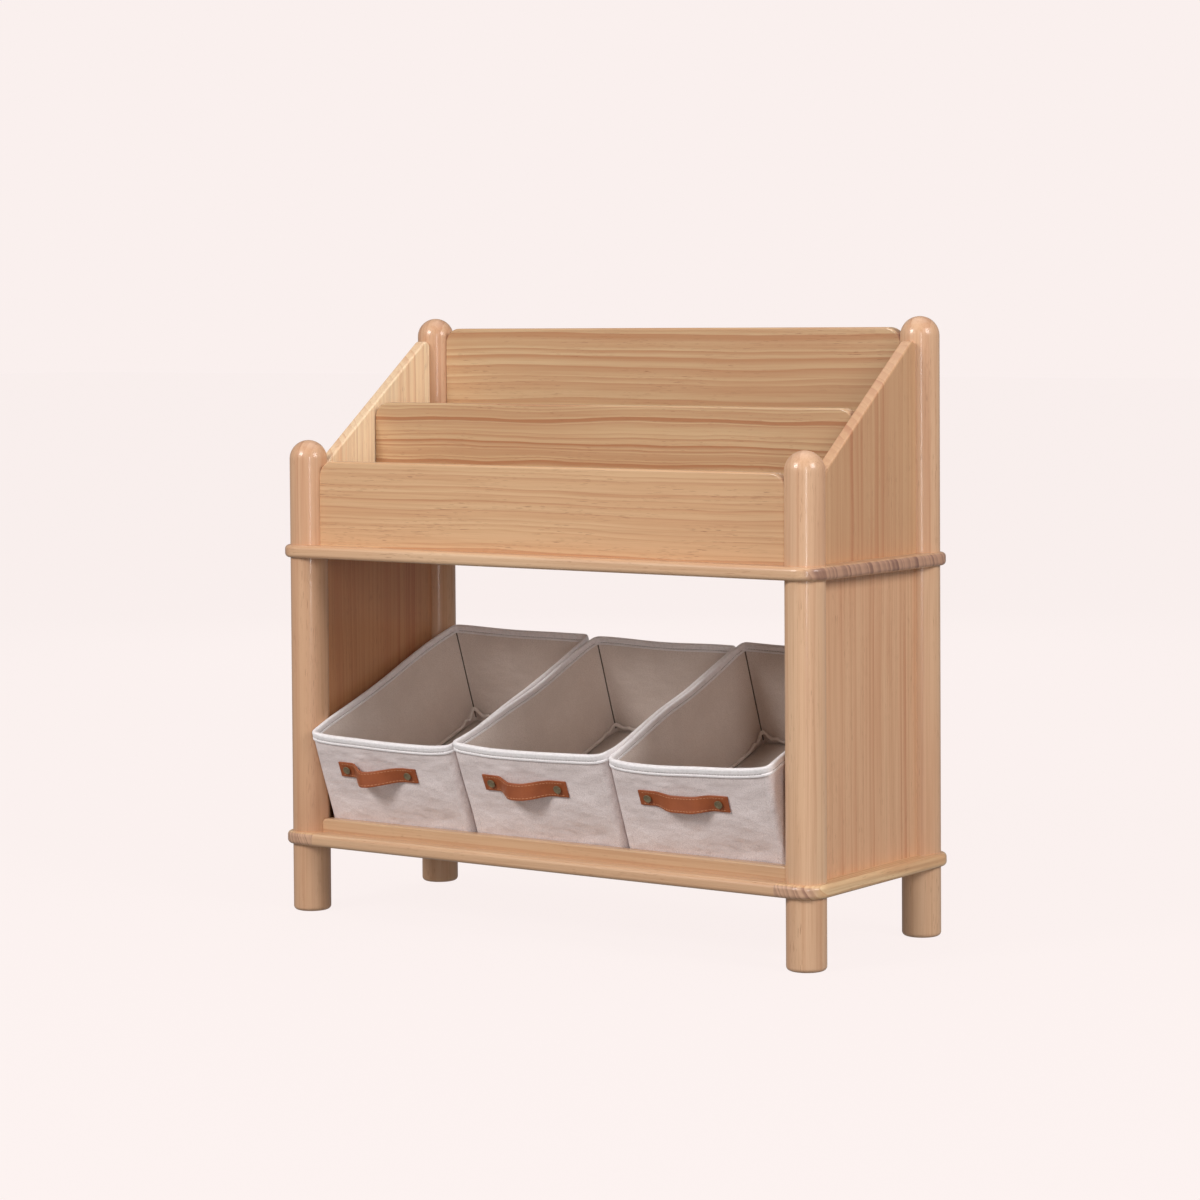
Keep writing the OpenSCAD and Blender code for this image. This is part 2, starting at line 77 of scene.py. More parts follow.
def ease(value: float, start: float, end: float) -> float:
    """Smooth step from 0 at start to 1 at end."""
    share = unit((value - start) / (end - start))
    return share * share * (3 - 2 * share)


def through_points(points: Sequence[tuple[float, float]], value: float) -> float:
    """Reads a smooth line that was laid through a few points.

    Args:
        points: Pairs of place and height, in the order of their places.
        value: Where to read the line.

    Returns:
        Its height there.
    """
    last = len(points) - 1
    index = max(0, min(last - 1, sum(1 for place, _ in points if place < value) - 1))
    (start, low), (end, high) = points[index], points[index + 1]
    before, after = points[max(index - 1, 0)], points[min(index + 2, last)]
    span = end - start
    share = unit((value - start) / span)
    leave = (high - before[1]) / (end - before[0]) * span
    arrive = (after[1] - low) / (after[0] - start) * span
    square, cube = share**2, share**3
    from_ends = low * (2 * cube - 3 * square + 1) + high * (3 * square - 2 * cube)
    return from_ends + leave * (cube - 2 * square + share) + arrive * (cube - square)


def hump(value: float, middle: float, half_width: float) -> float:
    """Bell of height 1 round a middle, fallen to about a third at its half width."""
    return math.exp(-(((value - middle) / half_width) ** 2))


# Shader toolkit


def _operator(operation: str, swapped: bool = False) -> Callable[..., Wire]:
    """Makes a method that adds one Math node.

    Args:
        operation: What the node does.
        swapped: Whether the other value comes first.

    Returns:
        The method.
    """
    def method(wire: Wire, other: Amount = 0.0) -> Wire:
        """Runs the operation on the wire and on the other value, where it takes one."""
        first, second = (other, wire) if swapped else (wire, other)
        return wire.sheet.node("ShaderNodeMath", {"operation": operation}, {0: first, 1: second})

    return method


class Wire:
    """A number that runs from one shader node to another and can stand in a sum."""

    def __init__(self, sheet: NodeSheet, socket: bpy.types.NodeSocket) -> None:
        """Keeps the socket together with its sheet of nodes."""
        self.sheet = sheet
        self.socket = socket

    __add__ = __radd__ = _operator("ADD")
    __sub__, __rsub__ = _operator("SUBTRACT"), _operator("SUBTRACT", swapped=True)
    __mul__ = __rmul__ = _operator("MULTIPLY")
    __truediv__ = _operator("DIVIDE")
    __abs__ = _operator("ABSOLUTE")
    root, whole, part, sine = (_operator(name) for name in ("SQRT", "FLOOR", "FRACT", "SINE"))

    def step(self, start: float, end: float) -> Wire:
        """Smooth step from 0 at start to 1 at end."""
        inputs = {"Value": self, "From Min": start, "From Max": end}
        return self.sheet.node("ShaderNodeMapRange", {"interpolation_type": "SMOOTHSTEP"}, inputs)


Amount = Union[float, Wire]


class NodeSheet:
    """The shader nodes of one material or of the world."""

    def __init__(self, name: str, library: str = "materials") -> None:
        """Starts an owner without nodes.

        Args:
            name: Name of the material or world.
            library: Where Blender keeps it.
        """
        self.owner = getattr(bpy.data, library).new(name)
        self.owner.use_nodes = True
        self.tree = self.owner.node_tree
        self.tree.nodes.clear()

    def node(
        self,
        kind: str,
        settings: dict[str, Any] | None = None,
        inputs: dict[str | int, Any] | None = None,
        output: str | int = 0,
    ) -> Wire:
        """Adds a node, sets it, and then fills its sockets.

        Args:
            kind: Type of the node.
            settings: Its own settings.
            inputs: Values or wires by the name or number of a socket.
            output: Name or number of the wanted output.

        Returns:
            The wire that leaves the wanted output.
        """
        made = self.tree.nodes.new(kind)
        for key, value in (settings or {}).items():
            setattr(made, key, value)
        for key, value in (inputs or {}).items():
            if isinstance(value, Wire):
                self.tree.links.new(value.socket, made.inputs[key])
            else:
                made.inputs[key].default_value = value
        return Wire(self, made.outputs[output])

    def mix(self, share: Amount, first: Any, second: Any) -> Wire:
        """Blends two colours by the share of the second."""
        return self.node("ShaderNodeMix", {"data_type": "RGBA"}, {0: share, 6: first, 7: second}, 2)

    def scaled(self, vector: Wire, factors: Place) -> Wire:
        """Multiplies a place by one factor for each axis."""
        return self.node("ShaderNodeVectorMath", {"operation": "MULTIPLY"}, {0: vector, 1: tuple(factors)})

    def shifted(self, vector: Wire, shift: Place) -> Wire:
        """Moves a place."""
        return self.node("ShaderNodeVectorMath", {"operation": "ADD"}, {0: vector, 1: tuple(shift)})

    def split(self, vector: Wire) -> tuple[Wire, Wire, Wire]:
        """Takes a vector apart."""
        first = self.node("ShaderNodeSeparateXYZ", {}, {0: vector}, 0)
        outputs = first.socket.node.outputs
        return first, Wire(self, outputs[1]), Wire(self, outputs[2])

    def noise(self, vector: Wire, scale: float, detail: float, roughness: float) -> Wire:
        """Soft noise, about 0.5 in the middle."""
        inputs = {"Vector": vector, "Scale": scale, "Detail": detail, "Roughness": roughness}
        return self.node("ShaderNodeTexNoise", {}, inputs)

    def chance(self, number: Wire) -> Wire:
        """A share from 0 to 1 that is the same wherever the number is."""
        return self.node("ShaderNodeTexWhiteNoise", {"noise_dimensions": "1D"}, {"W": number}, "Value")

    def at(self) -> Wire:
        """Place on the piece in metres."""
        return self.node("ShaderNodeTexCoord", {}, {}, "Object")

    def facing(self) -> Wire:
        """Direction in which the piece's surface faces."""
        return self.node("ShaderNodeTexCoord", {}, {}, "Normal")

    def cloth_at(self) -> Wire:
        """Place on the cut cloth in metres."""
        return self.node("ShaderNodeTexCoord", {}, {}, "UV")

    def finish(
        self,
        colour: Wire,
        roughness: Amount,
        height: Wire,
        relief: float,
        constants: dict[str, Any] | None = None,
    ) -> bpy.types.Material:
        """Ends the sheet with its surface.

        Args:
            colour: Base colour.
            roughness: Roughness over the surface.
            height: Height of the relief from 0 to 1.
            relief: Full height of the relief in millimetres.
            constants: Values that are the same all over, by socket of the surface.

        Returns:
            The finished material.
        """
        normal = self.node("ShaderNodeBump", {}, {"Strength": 1.0, "Distance": relief * MM, "Height": height})
        inputs: dict[str | int, Any] = {"Base Color": colour, "Roughness": roughness, "Normal": normal}
        inputs.update(constants or {})
        return self.close(self.node("ShaderNodeBsdfPrincipled", {}, inputs))

    def close(self, surface: Wire, kind: str = "ShaderNodeOutputMaterial") -> Any:
        """Ends the sheet with an output for a shader.

        Args:
            surface: The shader.
            kind: Type of the output node.

        Returns:
            The material or world.
        """
        output = self.tree.nodes.new(kind)
        self.tree.links.new(surface.socket, output.inputs["Surface"])
        return self.owner


# Finishes


class Axis(Enum):
    """Directions of the frame."""

    X = 0
    Y = 1
    Z = 2

    def others(self) -> tuple[Axis, Axis]:
        """The two axes square to this one."""
        return tuple(axis for axis in Axis if axis is not self)


@dataclass(frozen=True)
class PineBoard:
    """Lacquered pine glued from staves, whose growth rings are cut by the faces of the board."""

    name: str
    grain: Axis
    wide: Axis
    middle: tuple[float, float, float]
    pith: tuple[float, float] = (90.0, 40.0)
    ring: float = 8.0
    stave: float = 60.0
    wander: float = 8.0
    light: Colour = srgb(236, 203, 158)
    dark: Colour = srgb(206, 146, 100)
    line: Colour = srgb(176, 114, 74)
    end_light: Colour = srgb(206, 164, 134)
    end_dark: Colour = srgb(150, 106, 88)
    contrast: float = 0.80
    calm: float = 0.0
    ends: float = 1.0
    dashes: float = 0.60
    seed: float = 0.0

    def material(self) -> bpy.types.Material:
        """Builds the wood.

        Returns:
            The material for a board at this place.
        """
        sheet = NodeSheet(self.name)
        place = sheet.shifted(sheet.at(), [-value for value in self.middle])
        parts = sheet.split(place)
        thin = next(axis for axis in self.grain.others() if axis is not self.wide)

        across = parts[self.wide.value] / MM + (0.5 * self.stave + self.seed)
        number = (across / self.stave).whole()
        chance = sheet.chance(number * 1.7 + self.seed)
        tone = sheet.chance(number * 2.9 + self.seed + 5.0)
        slow = self._stretched(sheet, place, 3.6, 13.0)
        sway = sheet.noise(slow, 1.0, 3.0, 0.45) - 0.5
        sway_2 = sheet.noise(sheet.shifted(slow, (7.3, 2.1, 5.7)), 1.0, 3.0, 0.45) - 0.5
        local = across - number * self.stave + (self.pith[0] + chance * 50.0) + sway * (2 * self.wander)
        deep = parts[thin.value] / MM + (self.pith[1] + tone * 20.0) + sway_2 * (2 * self.wander)
        radius = (local * local + deep * deep).root() / (self.ring * (0.7 + 0.8 * tone))
        rings = {"W": radius * 0.55 + self.seed, "Scale": 1.0}
        radius = radius + sheet.node("ShaderNodeTexNoise", {"noise_dimensions": "1D"}, rings) * 2.2
        year = radius.part()
        strength = sheet.chance(radius.whole() + self.seed)
        late = year.step(0.05, 0.88) * (1 - year.step(0.90, 0.99))
        edge = year.step(0.66, 0.90) * (1 - year.step(0.91, 0.98))
        lively = sheet.noise(self._stretched(sheet, place, 1.5, 20.0), 1.0, 2.0, 0.5).step(0.44, 0.58)
        strong = (0.35 + 0.65 * strength) * (1 - self.calm * (1 - lively))

        streak = sheet.noise(self._stretched(sheet, place, 4.0, 330.0), 1.0, 4.0, 0.62)
        fibre = sheet.noise(self._stretched(sheet, place, 14.0, 1000.0), 1.0, 3.0, 0.6)
        cloudy = sheet.noise(self._stretched(sheet, place, 2.6, 18.0), 1.0, 2.0, 0.5)
        spread = sheet.noise(self._stretched(sheet, place, 9.0, 60.0), 1.0, 1.0, 0.5).step(0.42, 0.60)
        resin = sheet.noise(self._stretched(sheet, place, 75.0, 1900.0), 1.0, 0.0, 0.5).step(0.70, 0.80)

        along = sheet.mix(late * strong * self.contrast, self.light, self.dark)
        along = sheet.mix(edge * strong * (0.45 * self.contrast), along, self.line)
        along = sheet.mix(cloudy.step(0.30, 0.75) * 0.25 + tone * 0.20, along, self.dark)
        along = sheet.mix(streak.step(0.44, 0.70) * 0.26, along, self.line)
        along = sheet.mix(fibre.step(0.50, 0.72) * 0.20, along, self.line)
        along = sheet.mix(resin * spread * self.dashes, along, srgb(140, 86, 54))
        cut = abs(sheet.split(sheet.facing())[self.grain.value]).step(0.35, 0.80) * self.ends
        cross = sheet.mix(late * (0.30 + 0.70 * strength), self.end_light, self.end_dark)
        colour = sheet.mix(cut, along, cross)
        roughness = 0.36 + 0.10 * fibre + 0.08 * cut
        height = 0.55 * fibre + 0.30 * streak + 0.15 * (1 - late)
        lacquer = {"Coat Weight": 0.45, "Coat Roughness": 0.14, "IOR": 1.45}
        return sheet.finish(colour, roughness, height, 0.04, lacquer)

    def _stretched(self, sheet: NodeSheet, place: Wire, along: float, across: float) -> Wire:
        """Scales a place so that a noise on it runs with the grain."""
        factors = [across, across, across]
        factors[self.grain.value] = along
        return sheet.shifted(sheet.scaled(place, factors), (self.seed, self.seed * 1.7, self.seed * 0.6))


@dataclass(frozen=True)
class TwoTones:
    """What the finishes in two tones share."""

    name: str
    light: Colour
    dark: Colour


@dataclass(frozen=True)
class Metal(TwoTones):
    """Plated or solid metal with a cloudy tone and fine marks."""

    roughness: float = 0.34
    polish: float = 1.0

    def material(self) -> bpy.types.Material:
        """Builds the metal.

        Returns:
            The material.
        """
        sheet = NodeSheet(self.name)
        place = sheet.at()
        cloudy = sheet.noise(place, 260.0, 3.0, 0.6)
        fine = sheet.noise(place, 2600.0, 2.0, 0.6)
        colour = sheet.mix(cloudy.step(0.30, 0.75) * 0.7, self.light, self.dark)
        height = 0.5 * fine + 0.5 * cloudy
        return sheet.finish(colour, self.roughness + 0.14 * cloudy, height, 0.008, {"Metallic": self.polish})


@dataclass(frozen=True)
class Cloth(TwoTones):
    """Woven or felted cloth in two tones on the cut cloth's own coordinates."""

    thread: float = 0.7
    mottle: float = 5.0
    weave: float = 0.5
    drape: float = 0.8

    def material(self) -> bpy.types.Material:
        """Builds the cloth.

        Returns:
            The material.
        """
        sheet = NodeSheet(self.name)
        place = sheet.cloth_at()
        turn = 2 * math.pi / (self.thread * MM)
        sway = sheet.noise(place, 90.0, 2.0, 0.5) * 2.0
        across, up, _ = sheet.split(place)
        warp = (across * turn + sway).sine() * 0.5 + 0.5
        weft = (up * turn + sway * 1.3).sine() * 0.5 + 0.5
        threads = warp * weft
        mottled = sheet.noise(place, 1000.0 / self.mottle, 3.0, 0.6)
        # Large soft blotches a few centimetres across, blended towards the dark tone: painted fold shade on the cloth.
        painted_fold_shade = sheet.noise(place, 22.0, 3.0, 0.55)
        fuzz = sheet.noise(sheet.scaled(place, (1.0, 1.8, 1.0)), 620.0, 4.0, 0.65)
        colour = sheet.mix(fuzz.step(0.40, 0.60), self.dark, self.light)
        colour = sheet.mix(mottled.step(0.40, 0.65) * 0.30, colour, self.light)
        colour = sheet.mix(painted_fold_shade.step(0.40, 0.62) * 0.30, colour, self.dark)
        colour = sheet.mix((1 - threads) * (0.16 * self.weave), colour, self.dark)
        folds = sheet.noise(sheet.scaled(place, (1.0, 1.7, 1.0)), 16.0, 2.0, 0.5)
        pucker = sheet.noise(sheet.scaled(place, (1.0, 1.4, 1.0)), 60.0, 3.0, 0.55)
        fine = threads * (0.10 * self.weave) + mottled * 0.06 + fuzz * 0.12
        height = fine + (folds * 8.0 + pucker * 2.0) * self.drape
        return sheet.finish(colour, 0.86 + 0.10 * fuzz, height, 1.0, {"Sheen Weight": 0.25, "Sheen Roughness": 0.5})


@dataclass(frozen=True)
class Ribbon(TwoTones):
    """Ribbed binding tape."""

    rib: float = 0.9

    def material(self) -> bpy.types.Material:
        """Builds the tape.

        Returns:
            The material.
        """
        sheet = NodeSheet(self.name)
        place = sheet.cloth_at()
        across, up, _ = sheet.split(place)
        turn = 2 * math.pi / (self.rib * MM)
        ribs = ((across + up) * turn).sine() * 0.5 + 0.5
        cross = ((across - up) * (turn * 0.5)).sine() * 0.5 + 0.5
        soft = sheet.noise(place, 260.0, 3.0, 0.6)
        shade = (1 - ribs * (0.6 + 0.4 * cross)) * 0.28 + soft.step(0.40, 0.72) * 0.22
        colour = sheet.mix(shade, self.light, self.dark)
        return sheet.finish(colour, 0.72 + 0.12 * soft, ribs * 0.7 + soft * 0.3, 0.12, {"Sheen Weight": 0.15})


@dataclass(frozen=True)
class Hide(TwoTones):
    """Smooth tanned leather with fine pores."""

    def material(self) -> bpy.types.Material:
        """Builds the leather.

        Returns:
            The material.
        """
        sheet = NodeSheet(self.name)
        place = sheet.at()
        cells = sheet.node("ShaderNodeTexVoronoi", {}, {"Vector": place, "Scale": 1100.0}, "Distance")
        cloudy = sheet.noise(place, 70.0, 3.0, 0.55)
        fine = sheet.noise(place, 900.0, 3.0, 0.6)
        colour = sheet.mix(cloudy.step(0.30, 0.75) * 0.5, self.light, self.dark)
        colour = sheet.mix(fine.step(0.50, 0.75) * 0.20, colour, self.dark)
        height = cells * 0.7 + fine * 0.3
        return sheet.finish(colour, 0.46 + 0.14 * fine, height, 0.06, {"Coat Weight": 0.10, "Coat Roughness": 0.35})


@dataclass(frozen=True)
class Thread(TwoTones):
    """Sewing thread with a twist."""

    def material(self) -> bpy.types.Material:
        """Builds the thread.

        Returns:
            The material.
        """
        sheet = NodeSheet(self.name)
        twist = sheet.noise(sheet.at(), 2400.0, 2.0, 0.6)
        colour = sheet.mix(twist.step(0.35, 0.70), self.light, self.dark)
        return sheet.finish(colour, 0.62 + 0.2 * twist, twist, 0.08)


@dataclass(frozen=True)
class Backdrop:
    """Pale paper that lights itself a little, so that it shows no hard shadow."""

    name: str = "pale_paper"
    tone: Colour = srgb(250, 240, 238)
    glow: float = 0.96

    def material(self) -> bpy.types.Material:
        """Builds the paper.

        Returns:
            The material.
        """
        sheet = NodeSheet(self.name)
        paper = sheet.node("ShaderNodeBsdfDiffuse", {}, {"Color": srgb(240, 232, 230)})
        glow = sheet.node("ShaderNodeEmission", {}, {"Color": self.tone, "Strength": 1.0 / self.glow - 0.02})
        return sheet.close(sheet.node("ShaderNodeMixShader", {}, {0: self.glow, 1: paper, 2: glow}))


def dress(target: bpy.types.Object, material: bpy.types.Material) -> None:
    """Gives one material to all of a piece.

    Args:
        target: The piece or the solid.
        material: Its material.
    """
    if not target.material_slots:
        target.data.materials.append(material)
    for socket in target.material_slots:
        socket.material = material


# Modelling bench, in millimetres

NEAR = 0.01  # places that are closer count as one
FACING = 0.9  # part of its normal from which a face counts as facing a way
LONG = 50.0  # edges that are longer are divided
UP, DOWN, FRONT = (0, 0, 1), (0, 0, -1), (0, -1, 0)


class Pick(Enum):
    """What is picked next, with Blender's select mode for it."""

    EDGES = (False, True, False)
    FACES = (False, False, True)


class Bench:
    """A piece on the modelling bench, shaped with the edit-mode operators."""

    def __init__(self, body: bpy.types.Object, name: str) -> None:
        """Takes an object onto the bench.

        Args:
            body: The object.
            name: Its name.
        """
        self.body = body
        self.body.name = name
        self.body.data.name = name

    @classmethod
    def block(cls, name: str, low: Place, high: Place) -> Bench:
        """Starts from a block between two corners.

        Args:
            name: Name of the piece.
            low: Lowest corner.
            high: Highest corner.

        Returns:
            The piece.
        """
        bpy.ops.object.select_all(action="DESELECT")
        bpy.ops.mesh.primitive_cube_add(size=1)
        piece = cls(bpy.context.object, name)
        piece.body.location = [(a + b) / 2 * MM for a, b in zip(low, high)]
        piece.body.scale = [(b - a) * MM for a, b in zip(low, high)]
        return piece.settle()

    @classmethod
    def round_bar(cls, name: str, centre: Place, radius: float, length: float, sides: int) -> Bench:
        """Starts from a round bar that lies along the depth.

        Args:
            name: Name of the piece.
            centre: Middle of the bar.
            radius: Its radius.
            length: Its length.
            sides: Number of its faces round the axis.

        Returns:
            The piece.
        """
        bpy.ops.object.select_all(action="DESELECT")
        bpy.ops.mesh.primitive_cylinder_add(
            vertices=sides, radius=radius * MM, depth=length * MM, rotation=(math.pi / 2, 0, 0)
        )
        piece = cls(bpy.context.object, name)
        piece.body.location = [value * MM for value in centre]
        return piece.settle()

    def hold(self) -> None:
        """Makes this the only selected piece and the active one."""
        bpy.ops.object.select_all(action="DESELECT")
        self.body.select_set(True)
        bpy.context.view_layer.objects.active = self.body

    def settle(self) -> Bench:
        """Writes the object's place, turn and size into its mesh."""
        self.hold()
        bpy.ops.object.transform_apply(location=True, rotation=True, scale=True)
        return self

    def _unpick(self, kind: Pick) -> None:
        """Unpicks everything in the mesh, and sets what is picked next."""
        for group in (self.body.data.vertices, self.body.data.edges, self.body.data.polygons):
            group.foreach_set("select", [False] * len(group))
        bpy.context.tool_settings.mesh_select_mode = kind.value

    def faces(self, test: Callable[[Vector, Vector], bool]) -> Bench:
        """Picks faces.

        Args:
            test: Tells by a face's middle and normal whether it is picked.

        Returns:
            The piece.
        """
        self._unpick(Pick.FACES)
        for face in self.body.data.polygons:
            face.select = test(face.center / MM, face.normal)
        return self

    def facing(self, way: Place, low: float = -math.inf, high: float = math.inf) -> Bench:
        """Picks the faces that face a way and have their middle between two levels."""
        way = Vector(way)
        return self.faces(lambda middle, normal: normal.dot(way) > FACING and low < middle.z < high)

    def edges(self, test: Callable[[Vector, Vector], bool]) -> Bench:
        """Picks edges.

        Args:
            test: Tells by an edge's two ends whether it is picked.

        Returns:
            The piece.
        """
        self._unpick(Pick.EDGES)
        points = self.body.data.vertices
        for edge in self.body.data.edges:
            one, two = (points[index].co / MM for index in edge.vertices)
            edge.select = test(one, two)
        return self

    def along(self, axis: Axis, longer: float) -> Bench:
        """Picks the edges that run along an axis.

        Args:
            axis: The axis.
            longer: Length above which an edge is picked.

        Returns:
            The piece.
        """
        first, second = (other.value for other in axis.others())
        return self.edges(
            lambda one, two: abs(one[axis.value] - two[axis.value]) > longer
            and abs(one[first] - two[first]) < NEAR
            and abs(one[second] - two[second]) < NEAR
        )

    def work(self, *steps: tuple[Callable[..., Any], dict[str, Any]]) -> Bench:
        """Runs edit-mode operators on what is picked.

        Args:
            *steps: Operators, each with its options.

        Returns:
            The piece.
        """
        self.hold()
        bpy.ops.object.mode_set(mode="EDIT")
        for operator, options in steps:
            operator(**options)
        bpy.ops.object.mode_set(mode="OBJECT")
        return self

    def delete(self, kind: str = "FACE") -> Bench:
        """Deletes what is picked."""
        return self.work((bpy.ops.mesh.delete, {"type": kind}))

    def bevel(self, width: float, segments: int) -> Bench:
        """Rounds the picked edges."""
        return self.work((bpy.ops.mesh.bevel, {"offset": width * MM, "segments": segments, "affect": "EDGES"}))

    def round_sharp(self, width: float, segments: int) -> Bench:
        """Rounds every sharp edge."""
        self._unpick(Pick.EDGES)
        return self.work((bpy.ops.mesh.edges_select_sharp, {"sharpness": math.radians(60)})).bevel(width, segments)

    def cuts(self, axis: Axis, count: int, longer: float = LONG) -> Bench:
        """Divides every long edge along an axis, and with it the faces between them."""
        return self.along(axis, longer).work((bpy.ops.mesh.subdivide, {"number_cuts": count}))

    def grid(self, across: int, deep: int) -> Bench:
        """Divides the long edges across and along the depth."""
        return self.cuts(Axis.X, across).cuts(Axis.Y, deep)

    def inset(self, width: float) -> Bench:
        """Sets the picked faces in from their border."""
        return self.work((bpy.ops.mesh.inset, {"thickness": width * MM, "use_even_offset": True}))

    def pull(self, move: Place) -> Bench:
        """Extrudes the picked faces."""
        step = {"value": [value * MM for value in move]}
        return self.work((bpy.ops.mesh.extrude_region_move, {"TRANSFORM_OT_translate": step}))

    def fatten(self, height: float) -> Bench:
        """Moves the picked faces along their normals."""
        return self.work((bpy.ops.transform.shrink_fatten, {"value": height * MM}))

    def modifier(self, kind: str, **settings: Any) -> Bench:
        """Adds a modifier and applies it.

        Args:
            kind: Type of the modifier.
            **settings: Its settings.

        Returns:
            The piece.
        """
        self.hold()
        made = self.body.modifiers.new(kind.title(), kind)
        for key, value in settings.items():
            setattr(made, key, value)
        bpy.ops.object.modifier_apply(modifier=made.name)
        return self

    def row(self, count: int, step: Place) -> Bench:
        """Repeats the piece in a row."""
        way = [value * MM for value in step]
        offsets = {"use_relative_offset": False, "use_constant_offset": True, "constant_offset_displace": way}
        return self.modifier("ARRAY", count=count, **offsets)

    def lay_out(self) -> Bench:
        """Writes the place on the cut cloth, in metres, as the piece's UV map.

        Returns:
            The piece.
        """
        self._unpick(Pick.FACES)
        return self.work(
            (bpy.ops.mesh.select_all, {"action": "SELECT"}),
            (bpy.ops.uv.cube_project, {"cube_size": 1.0, "correct_aspect": False, "scale_to_bounds": False}),
        )

    def join(self, *others: Bench) -> Bench:
        """Makes several pieces one.

        Args:
            *others: The pieces that this one takes in.

        Returns:
            The piece.
        """
        self.hold()
        for other in others:
            other.body.select_set(True)
        bpy.ops.object.join()
        return self

    def copy(self, name: str) -> Bench:
        """Copies the piece with its own mesh."""
        self.hold()
        bpy.ops.object.duplicate(linked=False)
        return Bench(bpy.context.object, name)

    def smooth(self, angle: float = 35.0) -> Bench:
        """Shades the piece smooth up to an angle."""
        self.hold()
        bpy.ops.object.shade_smooth_by_angle(angle=math.radians(angle))
        return self

    def seat(self, where: Matrix) -> Bench:
        """Puts the piece in its place in the frame."""
        self.body.matrix_world = where
        return self.settle()

    def scrap(self) -> None:
        """Takes the piece off the bench for good."""
        bpy.data.objects.remove(self.body)


class Course(Enum):
    """How a cage runs between its control points, with Blender's name for it."""

    LINEAR = "KEY_LINEAR"
    CARDINAL = "KEY_CARDINAL"
    BSPLINE = "KEY_BSPLINE"


@dataclass
class Cage:
    """A cage of control points that bends all the layers of a soft piece alike."""

    low: Place
    high: Place
    counts: tuple[int, int, int]
    push: Callable[[Vector], Vector]
    course: Course = Course.BSPLINE
    body: bpy.types.Object | None = None

    def build(self) -> Cage:
        """Adds the cage and moves its control points.

        Returns:
            The cage.
        """
        bpy.ops.object.select_all(action="DESELECT")
        bpy.ops.object.add(type="LATTICE")
        self.body = bpy.context.object
        cage = self.body.data
        cage.points_u, cage.points_v, cage.points_w = self.counts
        for axis in "uvw":
            setattr(cage, f"interpolation_type_{axis}", self.course.value)
        middle = Vector([(a + b) / 2 for a, b in zip(self.low, self.high)])
        size = Vector([b - a for a, b in zip(self.low, self.high)])
        self.body.location = middle * MM
        self.body.scale = size * MM
        for point in cage.points:
            place = Vector([m + p * s for m, p, s in zip(middle, point.co, size)])
            move = self.push(place)
            point.co_deform = Vector([p + v / s for p, v, s in zip(point.co, move, size)])
        bpy.context.view_layer.update()
        return self

    def bend(self, *pieces: Bench) -> Cage:
        """Bends pieces by the cage."""
        for piece in pieces:
            piece.modifier("LATTICE", object=self.body)
        return self

    def remove(self) -> None:
        """Takes the cage away."""
        bpy.data.objects.remove(self.body)


# Sewn bins


@dataclass(frozen=True)
class BinSizes:
    """Sizes of a bin in millimetres, in its own frame: x across, y back, z up along its walls."""

    width: float = 216.0
    depth: float = 300.0
    height: float = 130.0
    tilt: float = 20.0
    gap: float = 0.8
    first_x: float = -327.6
    foot_y: float = -116.9637
    foot_z: float = 95.9922
    cloth: float = 0.8
    board: float = 2.0
    ply: float = 0.1
    tape: float = 0.9
    tape_height: float = 10.0
    tape_inside: float = 9.0
    pad: float = 5.0
    inner_corner: float = 2.5
    strap_x: float = 96.0
    strap_z: float = 85.5
    strap_width: float = 20.0
    strap_thick: float = 2.2
    strap_half: float = 59.0
    bow_half: float = 39.5
    rivet_gap: float = 94.0
    pad_corner: float = 5.0
    piping_radius: float = 2.1
    cuts_across: int = 23
    cuts_deep: int = 31
    wall_cuts: int = 15
    board_cuts: int = 11
    tape_cuts: int = 8
    pad_cuts: tuple[int, int] = (39, 55)
    piping_cuts: tuple[int, int] = (79, 111)
    cloth_round: float = 1.2
    board_round: float = 0.4
    tape_round: float = 2.5
    pad_round: float = 1.9
    stitch_round: float = 0.2
    base_clear: float = 2.0
    hem_outside: float = 2.6
    hem_inside: float = 2.2
    seam_half: float = 0.9
    seam_foot: float = 9.0
    stitch: float = 3.1
    stitch_pitch: float = 3.7
    stitch_thick: float = 0.6

    @property
    def board_inset(self) -> float:
        """Inset of the stiffening boards."""
        return self.tape + self.cloth + self.ply

    @property
    def lining_inset(self) -> float:
        """Inset of the lining."""
        return self.board_inset + self.board + self.ply

    @property
    def hollow_inset(self) -> float:
        """Inset of the hollow."""
        return self.lining_inset + self.cloth

    @property
    def trim(self) -> float:
        """Width of the rim."""
        return self.hollow_inset + self.tape + self.ply

    @property
    def wall_top(self) -> float:
        """Upper end of the walls under the tape."""
        return self.height - self.tape - self.ply

    @property
    def strap_back(self) -> float:
        """Depth of the strap's back before it is bowed."""
        return self.tape - self.ply

    @property
    def strap_front(self) -> float:
        """Depth of the strap's front before it is bowed."""
        return self.strap_back - self.strap_thick

    @property
    def piping_inset(self) -> float:
        """Inset of the piping's middle line."""
        return self.hollow_inset + 2.6

    @property
    def pad_floor(self) -> float:
        """Level of the padded base's underside."""
        return self.lining_inset - self.tape + self.cloth + self.ply

    def corner(self, inset: float) -> float:
        """Radius of the upright corners at an inset."""
        return self.inner_corner + self.trim - inset

    def where(self, number: int) -> Matrix:
        """Place of a bin in the frame.

        Args:
            number: The bin, from 1 at the left.

        Returns:
            Its place, in metres.
        """
        x = self.first_x + (number - 1) * (self.width + self.gap)
        place = Matrix.Translation(Vector((x, self.foot_y, self.foot_z)) * MM)
        return place @ Matrix.Rotation(math.radians(self.tilt), 4, "X")


Line = tuple[tuple[float, float], ...]


